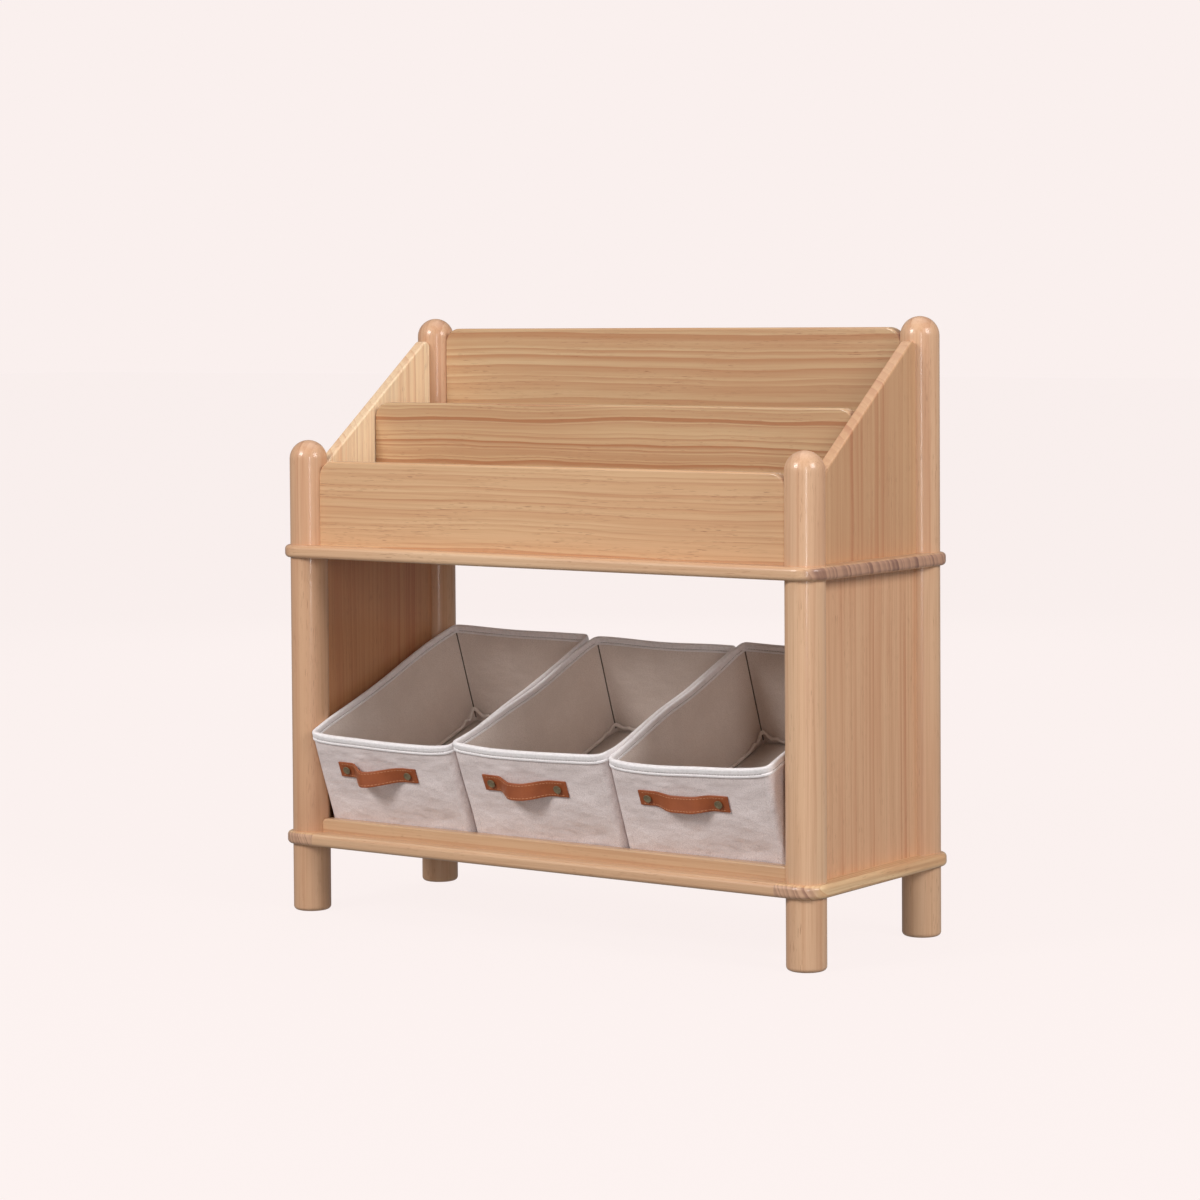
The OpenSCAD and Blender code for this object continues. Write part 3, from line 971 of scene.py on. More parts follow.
@dataclass(frozen=True)
class Slump:
    """How one bin has gone soft. A line gives millimetres by the share of the bin's depth.

    Two walls that face each other share one line. A wall that leans into its own bin does so from the floor
    up, so that one bin can be lifted past the next.
    """

    left: Line
    right: Line
    left_lift: Line
    right_lift: Line
    front_lift: Line
    crease: float
    strap_bow: float
    slack: float = 30.0
    ear: float = 8.0
    left_flare: float = 0.0
    right_flare: float = 0.0
    left_corner: float = 4.6
    right_corner: float = 2.6
    front_corner: float = 1.5
    sizes: BinSizes = field(default_factory=BinSizes)

    def push(self, place: Vector) -> Vector:
        """Shift of a point of the bin.

        Args:
            place: The point in the bin's own frame.

        Returns:
            Its shift.
        """
        size = self.sizes
        across = unit(place.x / size.width)
        depth = unit(place.y / size.depth)
        up = unit(place.z / size.height)
        at_floor, strap_reach, strap_tall, fold_tall = 0.7, 75.0, 18.0, 9.0
        high = ease(up, 0.25, 1.0)
        rear = ease(depth, 0.93, 1.0)
        end = 1 - ease(depth, 0.0, 0.07)
        left = through_points(self.left, depth) + self.left_corner * rear + self.left_flare * end
        right = through_points(self.right, depth) - self.right_corner * rear + self.right_flare * end
        left *= at_floor + (1 - at_floor) * high if left > 0 else high
        right *= at_floor + (1 - at_floor) * high if right < 0 else high
        side = left * (1 - across) + right * across
        at_left = (1 - ease(across, 0.0, 0.07)) * (1 - ease(depth, 0.0, 0.05))
        at_right = ease(across, 0.93, 1.0) * (1 - ease(depth, 0.0, 0.05))
        rounding = self.front_corner * ease(up, 0.45, 1.0)
        side += rounding * (at_left - at_right)

        clear_of_strap = 1 - hump(place.z, size.strap_z, strap_tall) * hump(place.x, size.strap_x, strap_reach)
        near_front = 1 - ease(depth, 0.0, 0.10)
        near_rear = ease(depth, 0.88, 1.0)
        inner = ease(across, 0.0, 0.12) * (1 - ease(across, 0.88, 1.0))
        fold = hump(place.z, 16 + 16 * across, fold_tall) * ease(across, 0.10, 0.5)
        fold += 0.6 * hump(place.z, 42 - 34 * across, fold_tall) * ease(across, 0.45, 0.8)
        front = near_front * inner * clear_of_strap * ease(up, 0.0, 0.2) * 0.8 * math.sin(6.5 * across + self.crease)
        front += near_front * inner * 2.8 * fold + rounding * (at_left + at_right)
        dent = hump(across, 0.55 + 0.1 * self.crease, 0.28) * ease(up, 0.1, 0.7)
        back = -near_rear * 2.4 * dent

        near_rim = ease(up, 0.55, 1.0)
        lift_left = through_points(self.left_lift, depth)
        lift_right = through_points(self.right_lift, depth)
        lift = lift_left * (1 - across) + lift_right * across
        lift += inner * (0.5 * math.sin(9.0 * across + self.crease) - 0.8 * hump(across, 0.5, 0.3))
        lift += (through_points(self.front_lift, across) - lift) * (1 - ease(depth, 0.0, 0.08))
        return Vector((side, front + back, near_rim * lift))


@dataclass
class BinPattern:
    """The pieces of a bin as they are cut and sewn, straight and square, before they go soft."""

    sizes: BinSizes = field(default_factory=BinSizes)

    def _from_edge(self, place: Vector) -> float:
        """Distance of a point from the bin's outline."""
        size = self.sizes
        return min(place.x, size.width - place.x, place.y, size.depth - place.y)

    def _box(self, name: str, inset: float, floor: float, top: float) -> Bench:
        """Starts from a block that is held back from the bin's outline on four sides."""
        size = self.sizes
        return Bench.block(name, (inset, inset, floor), (size.width - inset, size.depth - inset, top))

    def _grid(self, piece: Bench, high: int) -> Bench:
        """Divides a piece so finely that it can bend."""
        return piece.grid(self.sizes.cuts_across, self.sizes.cuts_deep).cuts(Axis.Z, high)

    def _round_corners(self, piece: Bench, inset: float, radius: float) -> Bench:
        """Rounds the upright corners of a block that has been divided.

        Args:
            piece: The block.
            inset: How far it is held back from the bin's outline.
            radius: Radius of its corners.

        Returns:
            The piece.
        """
        size = self.sizes

        def upright(one: Vector, two: Vector) -> bool:
            """Tells whether an edge lies on a corner."""
            on_x = min(abs(one.x - inset), abs(one.x - (size.width - inset))) < NEAR
            on_y = min(abs(one.y - inset), abs(one.y - (size.depth - inset))) < NEAR
            return on_x and on_y and (one - two).xy.length < NEAR

        return piece.edges(upright).bevel(radius, 4)

    def _tub(self, name: str, inset: float, floor: float) -> Bench:
        """A thin open tub of cloth with round corners.

        Args:
            name: Name of the piece.
            inset: How far its outside is held back from the bin's outline.
            floor: Level of its underside.

        Returns:
            The tub.
        """
        size = self.sizes
        tub = self._grid(self._box(name, inset, floor, size.wall_top), size.wall_cuts)
        tub.facing(UP, low=size.wall_top - 1).delete()
        self._round_corners(tub, inset, size.corner(inset)).round_sharp(size.cloth_round, 2).lay_out()
        return tub.modifier("SOLIDIFY", thickness=size.cloth * MM, offset=-1)

    def cover(self) -> Bench:
        """The outer cloth."""
        return self._tub("bin_cover", self.sizes.tape, 0.0)

    def lining(self) -> Bench:
        """The inner cloth."""
        size = self.sizes
        return self._tub("bin_lining", size.lining_inset, size.cloth + size.board + 2 * size.ply)

    def stiffeners(self) -> Bench:
        """Five boards between the two layers of cloth.

        Returns:
            The boards.
        """
        size = self.sizes
        inset, thick = size.board_inset, size.board
        floor = size.cloth + size.ply
        stand, top = floor + thick + size.ply, size.wall_top - size.ply
        start = inset + size.corner(inset)
        boards = [self._box("bin_stiffeners", inset + size.base_clear, floor, floor + thick)]
        for low in (inset, size.depth - inset - thick):
            boards.append(Bench.block("board", (start, low, stand), (size.width - start, low + thick, top)))
        for low in (inset, size.width - inset - thick):
            boards.append(Bench.block("board", (low, start, stand), (low + thick, size.depth - start, top)))
        for board in boards:
            self._grid(board, size.board_cuts).round_sharp(size.board_round, 1)
        return boards[0].join(*boards[1:])

    def binding(self) -> Bench:
        """The tape that is folded over the rim.

        Returns:
            The tape.
        """
        size = self.sizes
        foot, hem = size.height - size.tape_height, size.height - size.tape_inside
        tape = self._box("bin_binding", 0, foot, size.height)
        tape.facing(DOWN).delete()
        tape.along(Axis.Z, size.tape_height / 2).bevel(size.corner(0), 5)
        tape.facing(UP).inset(size.trim)
        tape.faces(lambda middle, normal: normal.z > FACING and self._from_edge(middle) > 2 * size.trim)
        tape.pull((0, 0, -size.tape_inside)).facing(UP, high=size.height - 1).delete()
        tape.grid(size.cuts_across, size.cuts_deep).round_sharp(size.tape_round, 4)
        tape.cuts(Axis.Z, size.tape_cuts, size.tape_height / 2)
        fold, groove = (0.0, 1.6, 0.7), (2.3, 3.1, -0.5)
        for outside, low in ((True, foot), (False, hem)):
            for start, end, height in (fold, groove):
                tape.faces(
                    lambda middle, normal: (self._from_edge(middle) < size.trim / 2) == outside
                    and low + start < middle.z < low + end
                ).fatten(height)
        return tape.lay_out().modifier("SOLIDIFY", thickness=size.tape * MM, offset=-1)

    def corner_seams_with_painted_shade(self) -> Bench:
        """Cords in the four inner corners: sewn seams whose dark tone is painted shade.

        Returns:
            The seams.
        """
        size = self.sizes
        inset, half, foot = size.hollow_inset + 0.75, size.seam_half, size.seam_foot
        cords = []
        for x in (inset, size.width - inset):
            for y in (inset, size.depth - inset):
                top = size.height - size.tape_inside + 1
                cord = Bench.block("bin_corner_seams", (x - half, y - half, foot), (x + half, y + half, top))
                cords.append(cord.cuts(Axis.Z, 15).round_sharp(0.4, 2))
        return cords[0].join(*cords[1:])

    def base_insert(self) -> Bench:
        """The padded board that lies in the bin.

        Returns:
            The board.
        """
        size = self.sizes
        inset = size.hollow_inset + 0.3
        pad = self._box("bin_base_insert", inset, size.pad_floor, size.pad_floor + size.pad)
        pad.grid(*size.pad_cuts).cuts(Axis.Z, 1, size.pad - 1)
        return self._round_corners(pad, inset, size.pad_corner).round_sharp(size.pad_round, 3).lay_out()

    def piping(self) -> Bench:
        """The cord that edges the padded board.

        Returns:
            The cord.
        """
        size = self.sizes
        level, tall = size.pad_floor + size.pad + 0.6, 10
        ring = self._box("bin_insert_piping", size.piping_inset, level, level + tall)
        ring.along(Axis.Z, tall / 2).bevel(size.pad_corner, 4)
        ring.faces(lambda middle, normal: abs(normal.z) > FACING).delete("ONLY_FACE")
        ring.grid(*size.piping_cuts)
        ring.edges(lambda one, two: min(one.z, two.z) > level + tall / 2).delete("VERT").hold()
        bpy.ops.object.convert(target="CURVE")
        cord = bpy.context.object
        cord.data.bevel_depth = size.piping_radius * MM
        cord.data.bevel_resolution = 2
        bpy.ops.object.convert(target="MESH")
        return Bench(bpy.context.object, "bin_insert_piping").lay_out()

    def _stitches(self, name: str, low: Place, high: Place, count: int, step: Place) -> Bench:
        """A row of stitches, from the first one's corners."""
        return Bench.block(name, low, high).round_sharp(self.sizes.stitch_round, 1).row(count, step)

    def seam(self, inset: float, level: float, stand: tuple[float, float]) -> Bench:
        """A row of small stitches along the four walls.

        Args:
            inset: Inset of the face that the stitches lie on.
            level: Their height.
            stand: Where a stitch starts and ends square to that face, in millimetres away from the bin's middle.

        Returns:
            The stitches.
        """
        size = self.sizes
        clear = inset + max(size.corner(inset), 1.0) + 1.0
        runs = []
        for axis, span, across in ((Axis.X, size.width, size.depth), (Axis.Y, size.depth, size.width)):
            count = int((span - 2 * clear) / size.stitch_pitch)
            start = (span - (count - 1) * size.stitch_pitch - size.stitch) / 2
            for side, sign in ((inset, -1), (across - inset, 1)):
                near, far = sorted(side + sign * value for value in stand)
                low, high = (start, near, level), (start + size.stitch, far, level + size.stitch_thick)
                step = (size.stitch_pitch, 0, 0)
                if axis is Axis.Y:
                    low, high, step = ((y, x, z) for x, y, z in (low, high, step))
                runs.append(self._stitches("stitching", low, high, count, step))
        return runs[0].join(*runs[1:])

    def upright_seams(self) -> Bench:
        """Two upright rows of stitches near the ends of the front wall.

        Returns:
            The stitches.
        """
        size = self.sizes
        count = int((size.height - size.tape_height - 10) / size.stitch_pitch)
        left, right = (
            self._stitches(
                "bin_upright_stitching",
                (x, size.tape - 0.25, 6.0),
                (x + size.stitch_thick, size.tape + 0.4, 8.4),
                count,
                (0, 0, size.stitch_pitch),
            )
            for x in (12.0, size.width - 12.6)
        )
        return left.join(right)

    def strap(self) -> Bench:
        """The leather strap before it is bowed, with its middle at x = 0.

        Returns:
            The strap.
        """
        size = self.sizes
        low = (-size.strap_half, size.strap_front, -size.strap_width / 2)
        high = (size.strap_half, size.strap_back, size.strap_width / 2)
        return Bench.block("bin_handle", low, high).cuts(Axis.X, 59).cuts(Axis.Z, 9, 15).round_sharp(0.5, 2)

    def strap_seam(self) -> Bench:
        """Two rows of stitches along the strap, before it is bowed.

        Returns:
            The stitches.
        """
        size = self.sizes
        pitch, length = 3.9, 2.7
        count = int((2 * size.strap_half - 6) / pitch)
        start = -((count - 1) * pitch + length) / 2
        front = size.strap_front
        lower, upper = (
            self._stitches(
                "bin_handle_stitching",
                (start, front - 0.22, level),
                (start + length, front + 0.3, level + size.stitch_thick),
                count,
                (pitch, 0, 0),
            )
            for level in (-size.strap_width / 2 + 2.2, size.strap_width / 2 - 2.8)
        )
        return lower.join(upper)

    def bow(self, place: Vector, strap_bow: float, slack: float) -> Vector:
        """Shift of a point of the strap, which is held at its rivets and bows out between them.

        Args:
            place: The point on the straight strap.
            strap_bow: How far the strap stands out in its middle.
            slack: Length over which it falls back to its right rivet.

        Returns:
            Its shift.
        """
        size = self.sizes
        half, rise, sag, twist, dimple = size.bow_half, 30.0, 0.04, 0.34, 0.35

        def out_at(x: float) -> float:
            """How far the strap stands out there."""
            return strap_bow * ease(x, -half, rise - half) * (1 - ease(x, half - slack, half))

        off = size.strap_back - place.y
        out, slope = out_at(place.x), out_at(place.x + 0.5) - out_at(place.x - 0.5)
        length = math.hypot(1.0, slope)
        move = Vector((-off * slope / length, -(out + off / length - off), -sag * out))
        turn = twist * out / strap_bow
        move += Vector((0.0, place.z * math.sin(turn), place.z * (math.cos(turn) - 1)))
        for side in (-1, 1):
            near = hump(math.hypot(place.x - side * size.rivet_gap / 2, place.z), 0.0, 6.0)
            move.y += dimple * near * unit(off / size.strap_thick)
        return move

    def bend_strap(self, strap_bow: float, slack: float, piece: Bench) -> None:
        """Bows the strap or its stitches, and moves them to their place on the bin.

        Args:
            strap_bow: How far the strap stands out in its middle.
            slack: Length over which it falls back to its right rivet.
            piece: The straight piece.
        """
        size = self.sizes
        half, wide = size.strap_half + 2, size.strap_width / 2 + 2
        push = partial(self.bow, strap_bow=strap_bow, slack=slack)
        Cage((-half, -3, -wide), (half, 2, wide), (64, 6, 13), push, Course.LINEAR).build().bend(piece).remove()
        piece.seat(Matrix.Translation(Vector((size.strap_x, 0, size.strap_z)) * MM))

    def rivets(self) -> Bench:
        """Two caps with a rim and a sunk face, each on its neck and shank.

        Returns:
            The rivets.
        """
        size = self.sizes
        back = size.strap_front - 0.1
        caps = []
        for side in (-1, 1):
            cap, neck, shank, inner = (
                Bench.round_bar(name, (size.strap_x + side * size.rivet_gap / 2, y, size.strap_z), radius, long, sides)
                for name, y, radius, long, sides in (
                    ("bin_rivets", back - 1.5, 5.0, 1.4, 40),
                    ("neck", back - 0.55, 3.9, 1.1, 28),
                    ("shank", 2.4, 1.5, 7.6, 20),
                    ("inner", size.hollow_inset + 0.6, 5.0, 0.9, 32),
                )
            )
            cap.facing(FRONT).inset(1.2).pull((0, 0.55, 0)).round_sharp(0.3, 2)
            caps.append(cap.join(neck, shank.round_sharp(0.2, 1), inner.round_sharp(0.35, 2)))
        return caps[0].join(caps[1])


FIRST_SEAM: Line = (
    (0.0, -3.0), (0.1, -1.6), (0.22, 0.4), (0.36, 1.4), (0.5, 2.6), (0.62, 2.4), (0.8, 0.8), (1.0, 0.2)
)
SECOND_SEAM: Line = (
    (0.0, 0.4), (0.15, 0.2), (0.3, -1.2), (0.42, -1.8), (0.58, 0.0), (0.75, -1.0), (0.9, -1.8), (1.0, -1.8)
)
SOFT_NODES = ("cover", "stiffeners", "lining", "binding", "base_insert", "handle", "rivets")


@dataclass
class FabricBins:
    """Three soft bins with stiffened walls, a taped rim, a padded base and a leather handle."""

    pattern: BinPattern = field(default_factory=BinPattern)
    slumps: dict[int, Slump] = field(
        default_factory=lambda: {
            1: Slump(
                left=((0.0, -0.6), (0.2, -0.2), (0.35, -1.8), (0.5, -3.6), (0.65, -5.5), (0.82, -5.5), (0.93, -0.6)),
                right=FIRST_SEAM,
                left_lift=((0.0, 1.2), (0.15, 2.6), (0.35, 1.0), (0.5, 0.8), (0.65, 2.2), (0.8, 3.8), (1.0, 7.4)),
                right_lift=((0.0, -0.4), (0.1, -3.0), (0.2, -2.4), (0.35, -0.6), (0.55, 0.0), (0.8, 1.4), (1.0, 5.4)),
                front_lift=((0.0, 0.6), (0.12, -3.6), (0.35, -4.8), (0.6, -6.6), (0.85, -6.8), (1.0, -2.6)),
                crease=1.4, strap_bow=19.0, slack=50.0, ear=17.0, left_flare=-2.0, right_flare=-3.4,
            ),
            2: Slump(
                left=FIRST_SEAM,
                right=SECOND_SEAM,
                left_lift=((0.0, 3.4), (0.08, 1.8), (0.2, 0.8), (0.35, 0.0), (0.55, -1.6), (0.75, 0.0), (1.0, 2.8)),
                right_lift=((0.0, 4.6), (0.1, 1.2), (0.42, 1.2), (0.6, 0.2), (0.8, 0.8), (1.0, 1.5)),
                front_lift=((0.0, 3.4), (0.08, 0.2), (0.25, -3.0), (0.5, -2.2), (0.75, -0.8), (0.92, 0.6), (1.0, 4.2)),
                crease=0.8, strap_bow=15.0, slack=40.0, ear=8.0, left_flare=-3.4, right_flare=-3.0,
            ),
            3: Slump(
                left=SECOND_SEAM,
                right=((0.0, 0.5), (0.4, 2.4), (0.8, 2.6), (1.0, 1.0)),
                left_lift=((0.0, -0.4), (0.2, 0.4), (0.42, 1.6), (0.58, 0.8), (0.75, 1.4), (0.9, 3.4), (1.0, 7.2)),
                right_lift=((0.0, 3.0), (0.08, 5.0), (0.3, 3.0), (0.7, 2.4), (1.0, 4.0)),
                front_lift=((0.0, -0.4), (0.1, -5.0), (0.3, -6.2), (0.55, -4.0), (0.75, -2.4), (0.9, 1.0), (1.0, 5.6)),
                crease=2.6, strap_bow=8.5, slack=28.0, ear=15.0, left_flare=-3.0,
            ),
        }
    )

    def finishes(self) -> dict[str, bpy.types.Material]:
        """Makes the materials of the pieces.

        Returns:
            The materials, by the names that the pieces call for.
        """
        looks = {
            "canvas": Cloth("outer_canvas", srgb(243, 229, 226), srgb(210, 194, 191)),
            "lining": Cloth("inner_lining", srgb(236, 221, 212), srgb(212, 195, 184), weave=0.3, drape=0.5),
            # The padded base is a darker copy of the lining's cloth: painted shade on the bin's floor.
            "pad": Cloth("base_cloth_painted_shade", srgb(206, 191, 180), srgb(180, 165, 155), weave=0.3, drape=0.3),
            "tape": Ribbon("binding_tape", srgb(253, 247, 247), srgb(203, 192, 190)),
            "board": Cloth("grey_board", srgb(120, 116, 110), srgb(96, 92, 88), weave=0.1, drape=0.1),
            "leather": Hide("tan_leather", srgb(157, 82, 42), srgb(132, 63, 30)),
            "antique_brass": Metal("antique_brass", srgb(150, 136, 108), srgb(112, 99, 76), 0.32, 0.5),
            # Dark thread for the corner cords: painted shade in the lining's inner corners, on top of the sewn seams.
            "seam": Thread("seam_with_painted_shade", srgb(100, 85, 76), srgb(78, 67, 60)),
            "piping": Cloth("piping", srgb(240, 228, 220), srgb(222, 208, 199), weave=0.3, drape=0.1),
            "canvas_thread": Thread("canvas_thread", srgb(224, 209, 204), srgb(186, 168, 162)),
            "pale_thread": Thread("pale_thread", srgb(190, 182, 178), srgb(158, 150, 146)),
            "tan_thread": Thread("tan_thread", srgb(214, 152, 112), srgb(186, 120, 84)),
        }
        return {name: look.material() for name, look in looks.items()}

    def cut(self) -> dict[str, tuple[Bench, str, str]]:
        """Models every piece once.

        Returns:
            The pieces with the names of their finish and of their slot, by the last part of their names.
        """
        pattern, size = self.pattern, self.pattern.sizes
        hem = size.height - size.tape_height + size.hem_outside
        inner_hem = size.height - size.tape_inside + size.hem_inside
        return {
            "cover": (pattern.cover(), "canvas", "canvas"),
            "stiffeners": (pattern.stiffeners(), "board", "board"),
            "lining": (pattern.lining(), "lining", "lining"),
            "binding": (pattern.binding(), "tape", "tape"),
            "base_insert": (pattern.base_insert(), "pad", "lining"),
            "insert_piping": (pattern.piping(), "piping", "lining"),
            "outer_stitching": (pattern.seam(0.0, hem, (-0.65, -0.15)), "pale_thread", "tape"),
            "inner_stitching": (pattern.seam(size.trim, inner_hem, (0.15, 0.65)), "pale_thread", "tape"),
            "upright_stitching": (pattern.upright_seams(), "canvas_thread", "canvas"),
            "corner_seams_with_painted_shade": (pattern.corner_seams_with_painted_shade(), "seam", "lining"),
            "handle": (pattern.strap(), "leather", "leather"),
            "handle_stitching": (pattern.strap_seam(), "tan_thread", "leather"),
            "rivets": (pattern.rivets(), "antique_brass", "antique_brass"),
        }

    def crown(self, place: Vector) -> Vector:
        """Shift of the padded base, which swells between its edges.

        Args:
            place: The point in the bin's own frame.

        Returns:
            Its shift.
        """
        size = self.pattern.sizes
        across, depth = unit(place.x / size.width), unit(place.y / size.depth)
        top = ease(place.z, size.lining_inset, size.lining_inset + size.pad)
        middle = max(0.0, math.sin(math.pi * across) * math.sin(math.pi * depth)) ** 0.7
        return Vector((0.0, 0.0, top * (4.0 * middle - 3.4)))

    def pinch(self, ear: float, piping: Bench) -> None:
        """Pinches the piping up into an ear at the rear left corner, with a small ripple on either side.

        Args:
            ear: Height of the ear.
            piping: The straight piping.
        """
        size = self.pattern.sizes
        edge = size.piping_inset

        def push(place: Vector) -> Vector:
            """Shift of one point of the piping.

            Args:
                place: The point.

            Returns:
                Its shift.
            """
            from_left, from_rear = max(0.0, place.x - edge), max(0.0, size.depth - edge - place.y)
            loop = hump(max(from_left, from_rear), 0.0, 9.0)
            ripple = hump(from_rear, 21.0, 5.0) * hump(from_left, 0.0, 9.0)
            ripple += 0.7 * hump(from_left, 19.0, 5.0) * hump(from_rear, 0.0, 9.0)
            return Vector((0.30 * ear * loop + ripple, -0.35 * ear * loop, ear * loop + (0.25 * ear + 1) * ripple))

        low, high = (-2.0, size.depth - 70, -4.0), (size.hollow_inset + 50, size.depth + 4, 40.0)
        Cage(low, high, (40, 48, 6), push, Course.LINEAR).build().bend(piping).remove()

    def build(self) -> None:
        """Models the pieces once, copies them for each bin, and lets each bin go soft in its own way."""
        size = self.pattern.sizes
        finishes = self.finishes()
        pieces = self.cut()
        reach = 12.0
        low = (-reach, -reach, -reach)
        high = (size.width + reach, size.depth + reach, size.height + reach)
        swell = Cage(low, high, (64, 64, 24), self.crown, Course.CARDINAL).build()
        swell.bend(pieces["base_insert"][0]).remove()
        for number, slump in self.slumps.items():
            cage = Cage(low, high, (33, 41, 33), slump.push).build()
            for part, (source, finish, slot) in pieces.items():
                name = f"bin_{number}_{part}"
                piece = source.copy(f"{name}_soft" if part in SOFT_NODES else name)
                if part.startswith("handle"):
                    self.pattern.bend_strap(slump.strap_bow, slump.slack, piece)
                if part == "insert_piping":
                    self.pinch(slump.ear, piece)
                cage.bend(piece)
                piece.seat(size.where(number)).smooth()
                dress(piece.body, finishes[finish])
                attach(piece.body, f"bin_{number}")
                if part in SOFT_NODES:
                    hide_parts(name)
                LOG.info("bin %d: %s, %d faces", number, part, len(piece.body.data.polygons))
            cage.remove()
        for source, _, _ in pieces.values():
            source.scrap()


# Wooden frame


@dataclass
class WoodenFrame:
    """The pine pieces of the shelf and their fasteners."""

    nodes: dict[str, bpy.types.Object]

    def middle(self, name: str) -> tuple[float, float, float]:
        """Middle of a solid's box."""
        low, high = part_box(name)
        return tuple((a + b) / 2 for a, b in zip(low, high))

    def pine(self, name: str, grain: Axis, wide: Axis, **settings: Any) -> None:
        """Dresses one board.

        Args:
            name: Name of the solid.
            grain: Direction of its grain.
            wide: Direction of its width.
            **settings: Other values of its finish.
        """
        board = PineBoard(f"pine_{name}", grain, wide, self.middle(name), **settings)
        dress(self.nodes[name], board.material())
        LOG.info("pine on %s, grain along %s", name, grain.name)

    def build(self) -> None:
        """Dresses every wooden piece and every fastener."""
        self.shelves()
        self.panels()
        self.posts()
        self.fasteners()

    def shelves(self) -> None:
        """The two shelves and the cross-grained ends of the lower one."""
        x, y = Axis.X, Axis.Y
        top_tone = {"light": srgb(222, 187, 151), "dark": srgb(200, 145, 107)}
        top_tone |= {"end_light": srgb(190, 146, 120), "end_dark": srgb(132, 94, 80)}
        top_tone["contrast"] = 0.6
        self.pine("mid_shelf", x, y, pith=(300.0, 200.0), ring=9.0, stave=400.0, seed=3.0, **top_tone)
        self.pine("bottom_shelf", x, y, pith=(150.0, 60.0), ring=11.0, stave=80.0, seed=5.0, **top_tone)
        for side, seed in (("left", 7.0), ("right", 9.0)):
            self.pine(f"shelf_end_{side}", y, x, pith=(60.0, 70.0), ring=5.0, stave=200.0, seed=seed)

    def panels(self) -> None:
        """Front panel, divider, back panel, lip, rest rail and the side boards."""
        x, y, z = Axis.X, Axis.Y, Axis.Z
        front = {"light": srgb(222, 184, 142), "dark": srgb(198, 140, 99), "contrast": 0.65}
        banded = {"light": srgb(208, 175, 134), "dark": srgb(170, 115, 76), "contrast": 0.9, "wander": 11.0}
        lighter = {"light": srgb(215, 185, 144), "dark": srgb(181, 127, 86), "contrast": 0.85, "wander": 7.0}
        lip = {"light": srgb(212, 177, 140), "dark": srgb(191, 136, 98), "contrast": 0.4, "wander": 4.0}
        self.pine("front_panel", x, z, pith=(150.0, 40.0), ring=9.0, stave=220.0, seed=11.0, **front)
        self.pine("divider", x, z, pith=(60.0, 50.0), ring=9.5, stave=300.0, seed=13.0, **banded)
        self.pine("back_panel", x, z, pith=(60.0, 30.0), ring=8.5, stave=110.0, seed=17.0, **lighter)
        self.pine("front_lip", x, z, pith=(90.0, 50.0), ring=10.0, seed=19.0, **lip)
        self.pine("rest_rail", x, z, ring=9.0, seed=21.0)
        slope = {"end_light": srgb(206, 160, 122), "end_dark": srgb(186, 136, 104)}
        boards = {"stave": 46.0, "wander": 5.0, "contrast": 0.85, "calm": 0.6, "ends": 0.45, **slope}
        # Painted light and shade: the upper left side board is made nearly white-yellow to brighten it where it sits
        # in shade, and the lower left side board darker and redder for the shadow under the mid shelf.
        painted_light_tone = {"light": srgb(255, 234, 198), "dark": srgb(246, 204, 162)}
        plain = {"light": srgb(208, 165, 125), "dark": srgb(187, 126, 89)}
        painted_shade_tone = {"light": srgb(208, 153, 109), "dark": srgb(179, 108, 71)}
        lower = {"light": srgb(224, 180, 142), "dark": srgb(200, 137, 100)}
        self.pine("upper_side_left", z, y, pith=(60.0, 60.0), ring=9.0, seed=23.0, **boards, **painted_light_tone)
        self.pine("upper_side_right", z, y, pith=(70.0, 50.0), ring=10.0, seed=27.0, **boards, **plain)
        self.pine("lower_side_left", z, y, pith=(60.0, 60.0), ring=8.0, seed=29.0, **boards, **painted_shade_tone)
        self.pine("lower_side_right", z, y, pith=(80.0, 40.0), ring=11.0, seed=31.0, **boards, **lower)

    def posts(self) -> None:
        """Turned posts and feet, each from its own stick."""
        settings = {"ring": 13.0, "stave": 400.0, "wander": 3.0, "contrast": 0.45, "calm": 0.6, "ends": 0.25}
        # The right posts get a lighter copy of the left posts' pine: painted light on the right and painted shade on
        # the left.
        tones = {
            "left": {"light": srgb(217, 174, 138), "dark": srgb(196, 140, 106)},
            "right": {"light": srgb(224, 184, 148), "dark": srgb(206, 153, 118)},
        }
        seed = 40.0
        for level in ("upper_post", "lower_post", "foot"):
            for place in ("front_left", "front_right", "rear_left", "rear_right"):
                seed += 3.1
                pith = (40.0 + seed % 9 - 200.0, 30.0 + seed % 5)
                tone = tones[place.split("_")[1]]
                self.pine(f"{level}_{place}", Axis.Z, Axis.X, pith=pith, seed=seed, **settings, **tone)

    def fasteners(self) -> None:
        """Dowels, studs, threaded inserts and screws."""
        self.pine("dowels", Axis.X, Axis.Y, ring=3.0, wander=1.0, seed=90.0)
        zinc = Metal("zinc_plated", srgb(200, 202, 206), srgb(160, 164, 170), 0.30).material()
        brass = Metal("insert_brass", srgb(206, 170, 100), srgb(160, 122, 62), 0.32).material()
        for name, metal in (("studs", zinc), ("shelf_screws", zinc), ("threaded_inserts", brass)):
            dress(self.nodes[name], metal)
            LOG.info("metal on %s", name)


# Studio


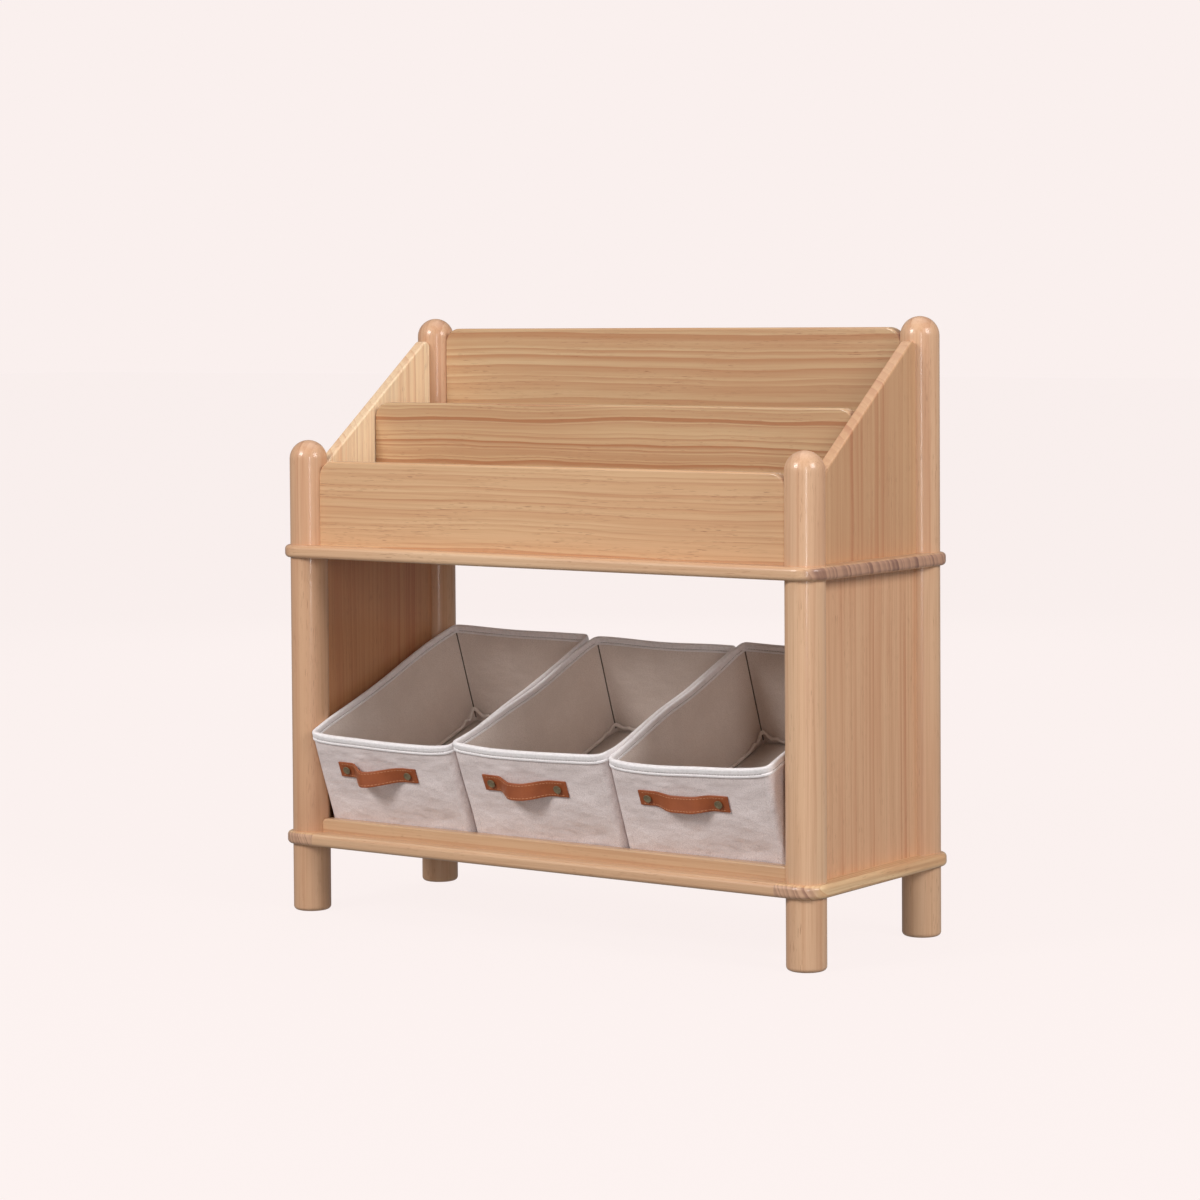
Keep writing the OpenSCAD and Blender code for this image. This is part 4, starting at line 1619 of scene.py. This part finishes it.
@dataclass
class Studio:
    """Pale backdrop, soft lights and the camera of the photograph."""

    camera_place: tuple[float, float, float] = (2.29555, -3.25533, 0.71436)
    camera_target: tuple[float, float, float] = (0.0, -0.0057, 0.56506)
    roll: float = -0.371
    lens: float = 101.78
    shift: tuple[float, float] = (-0.00537, -0.1310)
    lit: tuple[float, float, float] = (0.0, 0.0, 0.4)

    def build(self) -> None:
        """Sets up the camera, the backdrop and the lights."""
        self.camera()
        self.backdrop()
        for name, place, size, power in (
            ("left_box", (-0.9, -2.9, 2.2), (1.1, 1.1), 76.0),
            ("right_box", (3.1, -0.42, 2.0), (1.3, 1.3), 60.0),
            ("strip", (2.7, -2.93, 0.95), (0.35, 1.9), 27.0),
            ("top_box", (0.0, 0.4, 3.0), (2.2, 2.2), 18.0),
            ("rear_box", (-2.2, 3.0, 1.5), (1.6, 1.6), 30.0),
        ):
            self.light(name, place, size, power)
        bpy.data.objects["rear_box"].visible_glossy = False

    def camera(self) -> None:
        """The camera where the photograph was taken from."""
        place, target = Vector(self.camera_place), Vector(self.camera_target)
        ahead = (target - place).normalized()
        right = ahead.cross(Vector((0, 0, 1))).normalized()
        above = right.cross(ahead)
        turn = math.radians(self.roll)
        across = math.cos(turn) * right + math.sin(turn) * above
        upward = -math.sin(turn) * right + math.cos(turn) * above
        pose = Matrix((across, upward, -ahead)).transposed().to_4x4()
        pose.translation = place
        data = bpy.data.cameras.new("camera")
        data.lens = self.lens
        data.sensor_width = 36.0
        data.shift_x, data.shift_y = self.shift
        data.clip_end = 60.0
        data.dof.use_dof = False
        camera = bpy.data.objects.new("camera", data)
        bpy.context.scene.collection.objects.link(camera)
        camera.matrix_world = pose
        bpy.context.scene.camera = camera
        LOG.info("camera at %s", tuple(round(value, 3) for value in place))

    def backdrop(self) -> None:
        """A wide pale floor and a sky of the same tone."""
        bpy.ops.object.select_all(action="DESELECT")
        bpy.ops.mesh.primitive_plane_add(size=60)
        floor = bpy.context.object
        floor.name = "floor"
        paper = Backdrop()
        dress(floor, paper.material())
        floor.visible_glossy = False
        floor.visible_diffuse = False
        sky = NodeSheet("studio", "worlds")
        bpy.context.scene.world = sky.owner
        seen = sky.node("ShaderNodeBackground", {}, {"Color": paper.tone})
        around = sky.node("ShaderNodeBackground", {}, {"Color": srgb(244, 242, 240), "Strength": 0.25})
        from_camera = sky.node("ShaderNodeLightPath", {}, {}, "Is Camera Ray")
        mixed = sky.node("ShaderNodeMixShader", {}, {0: from_camera, 1: around, 2: seen})
        sky.close(mixed, "ShaderNodeOutputWorld")
        bpy.context.scene.view_settings.view_transform = "Standard"
        LOG.info("backdrop")

    def light(self, name: str, place: Place, size: tuple[float, float], power: float) -> None:
        """A softbox that faces the piece.

        Args:
            name: Name of the light.
            place: Where it stands.
            size: Its width and height.
            power: Its power in watts.
        """
        data = bpy.data.lights.new(name, "AREA")
        data.shape = "RECTANGLE"
        data.size, data.size_y = size
        data.energy = power
        lamp = bpy.data.objects.new(name, data)
        bpy.context.scene.collection.objects.link(lamp)
        lamp.location = place
        aim = Vector(self.lit) - Vector(place)
        lamp.rotation_euler = aim.to_track_quat("-Z", "Y").to_euler()
        LOG.info("light %s, %.0f W", name, power)


def main() -> None:
    """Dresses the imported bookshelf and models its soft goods."""
    logging.basicConfig(level=logging.INFO, format="%(name)s: %(message)s")
    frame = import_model()
    Studio().build()
    WoodenFrame(frame["nodes"]).build()
    FabricBins().build()


if __name__ == "__main__":
    main()
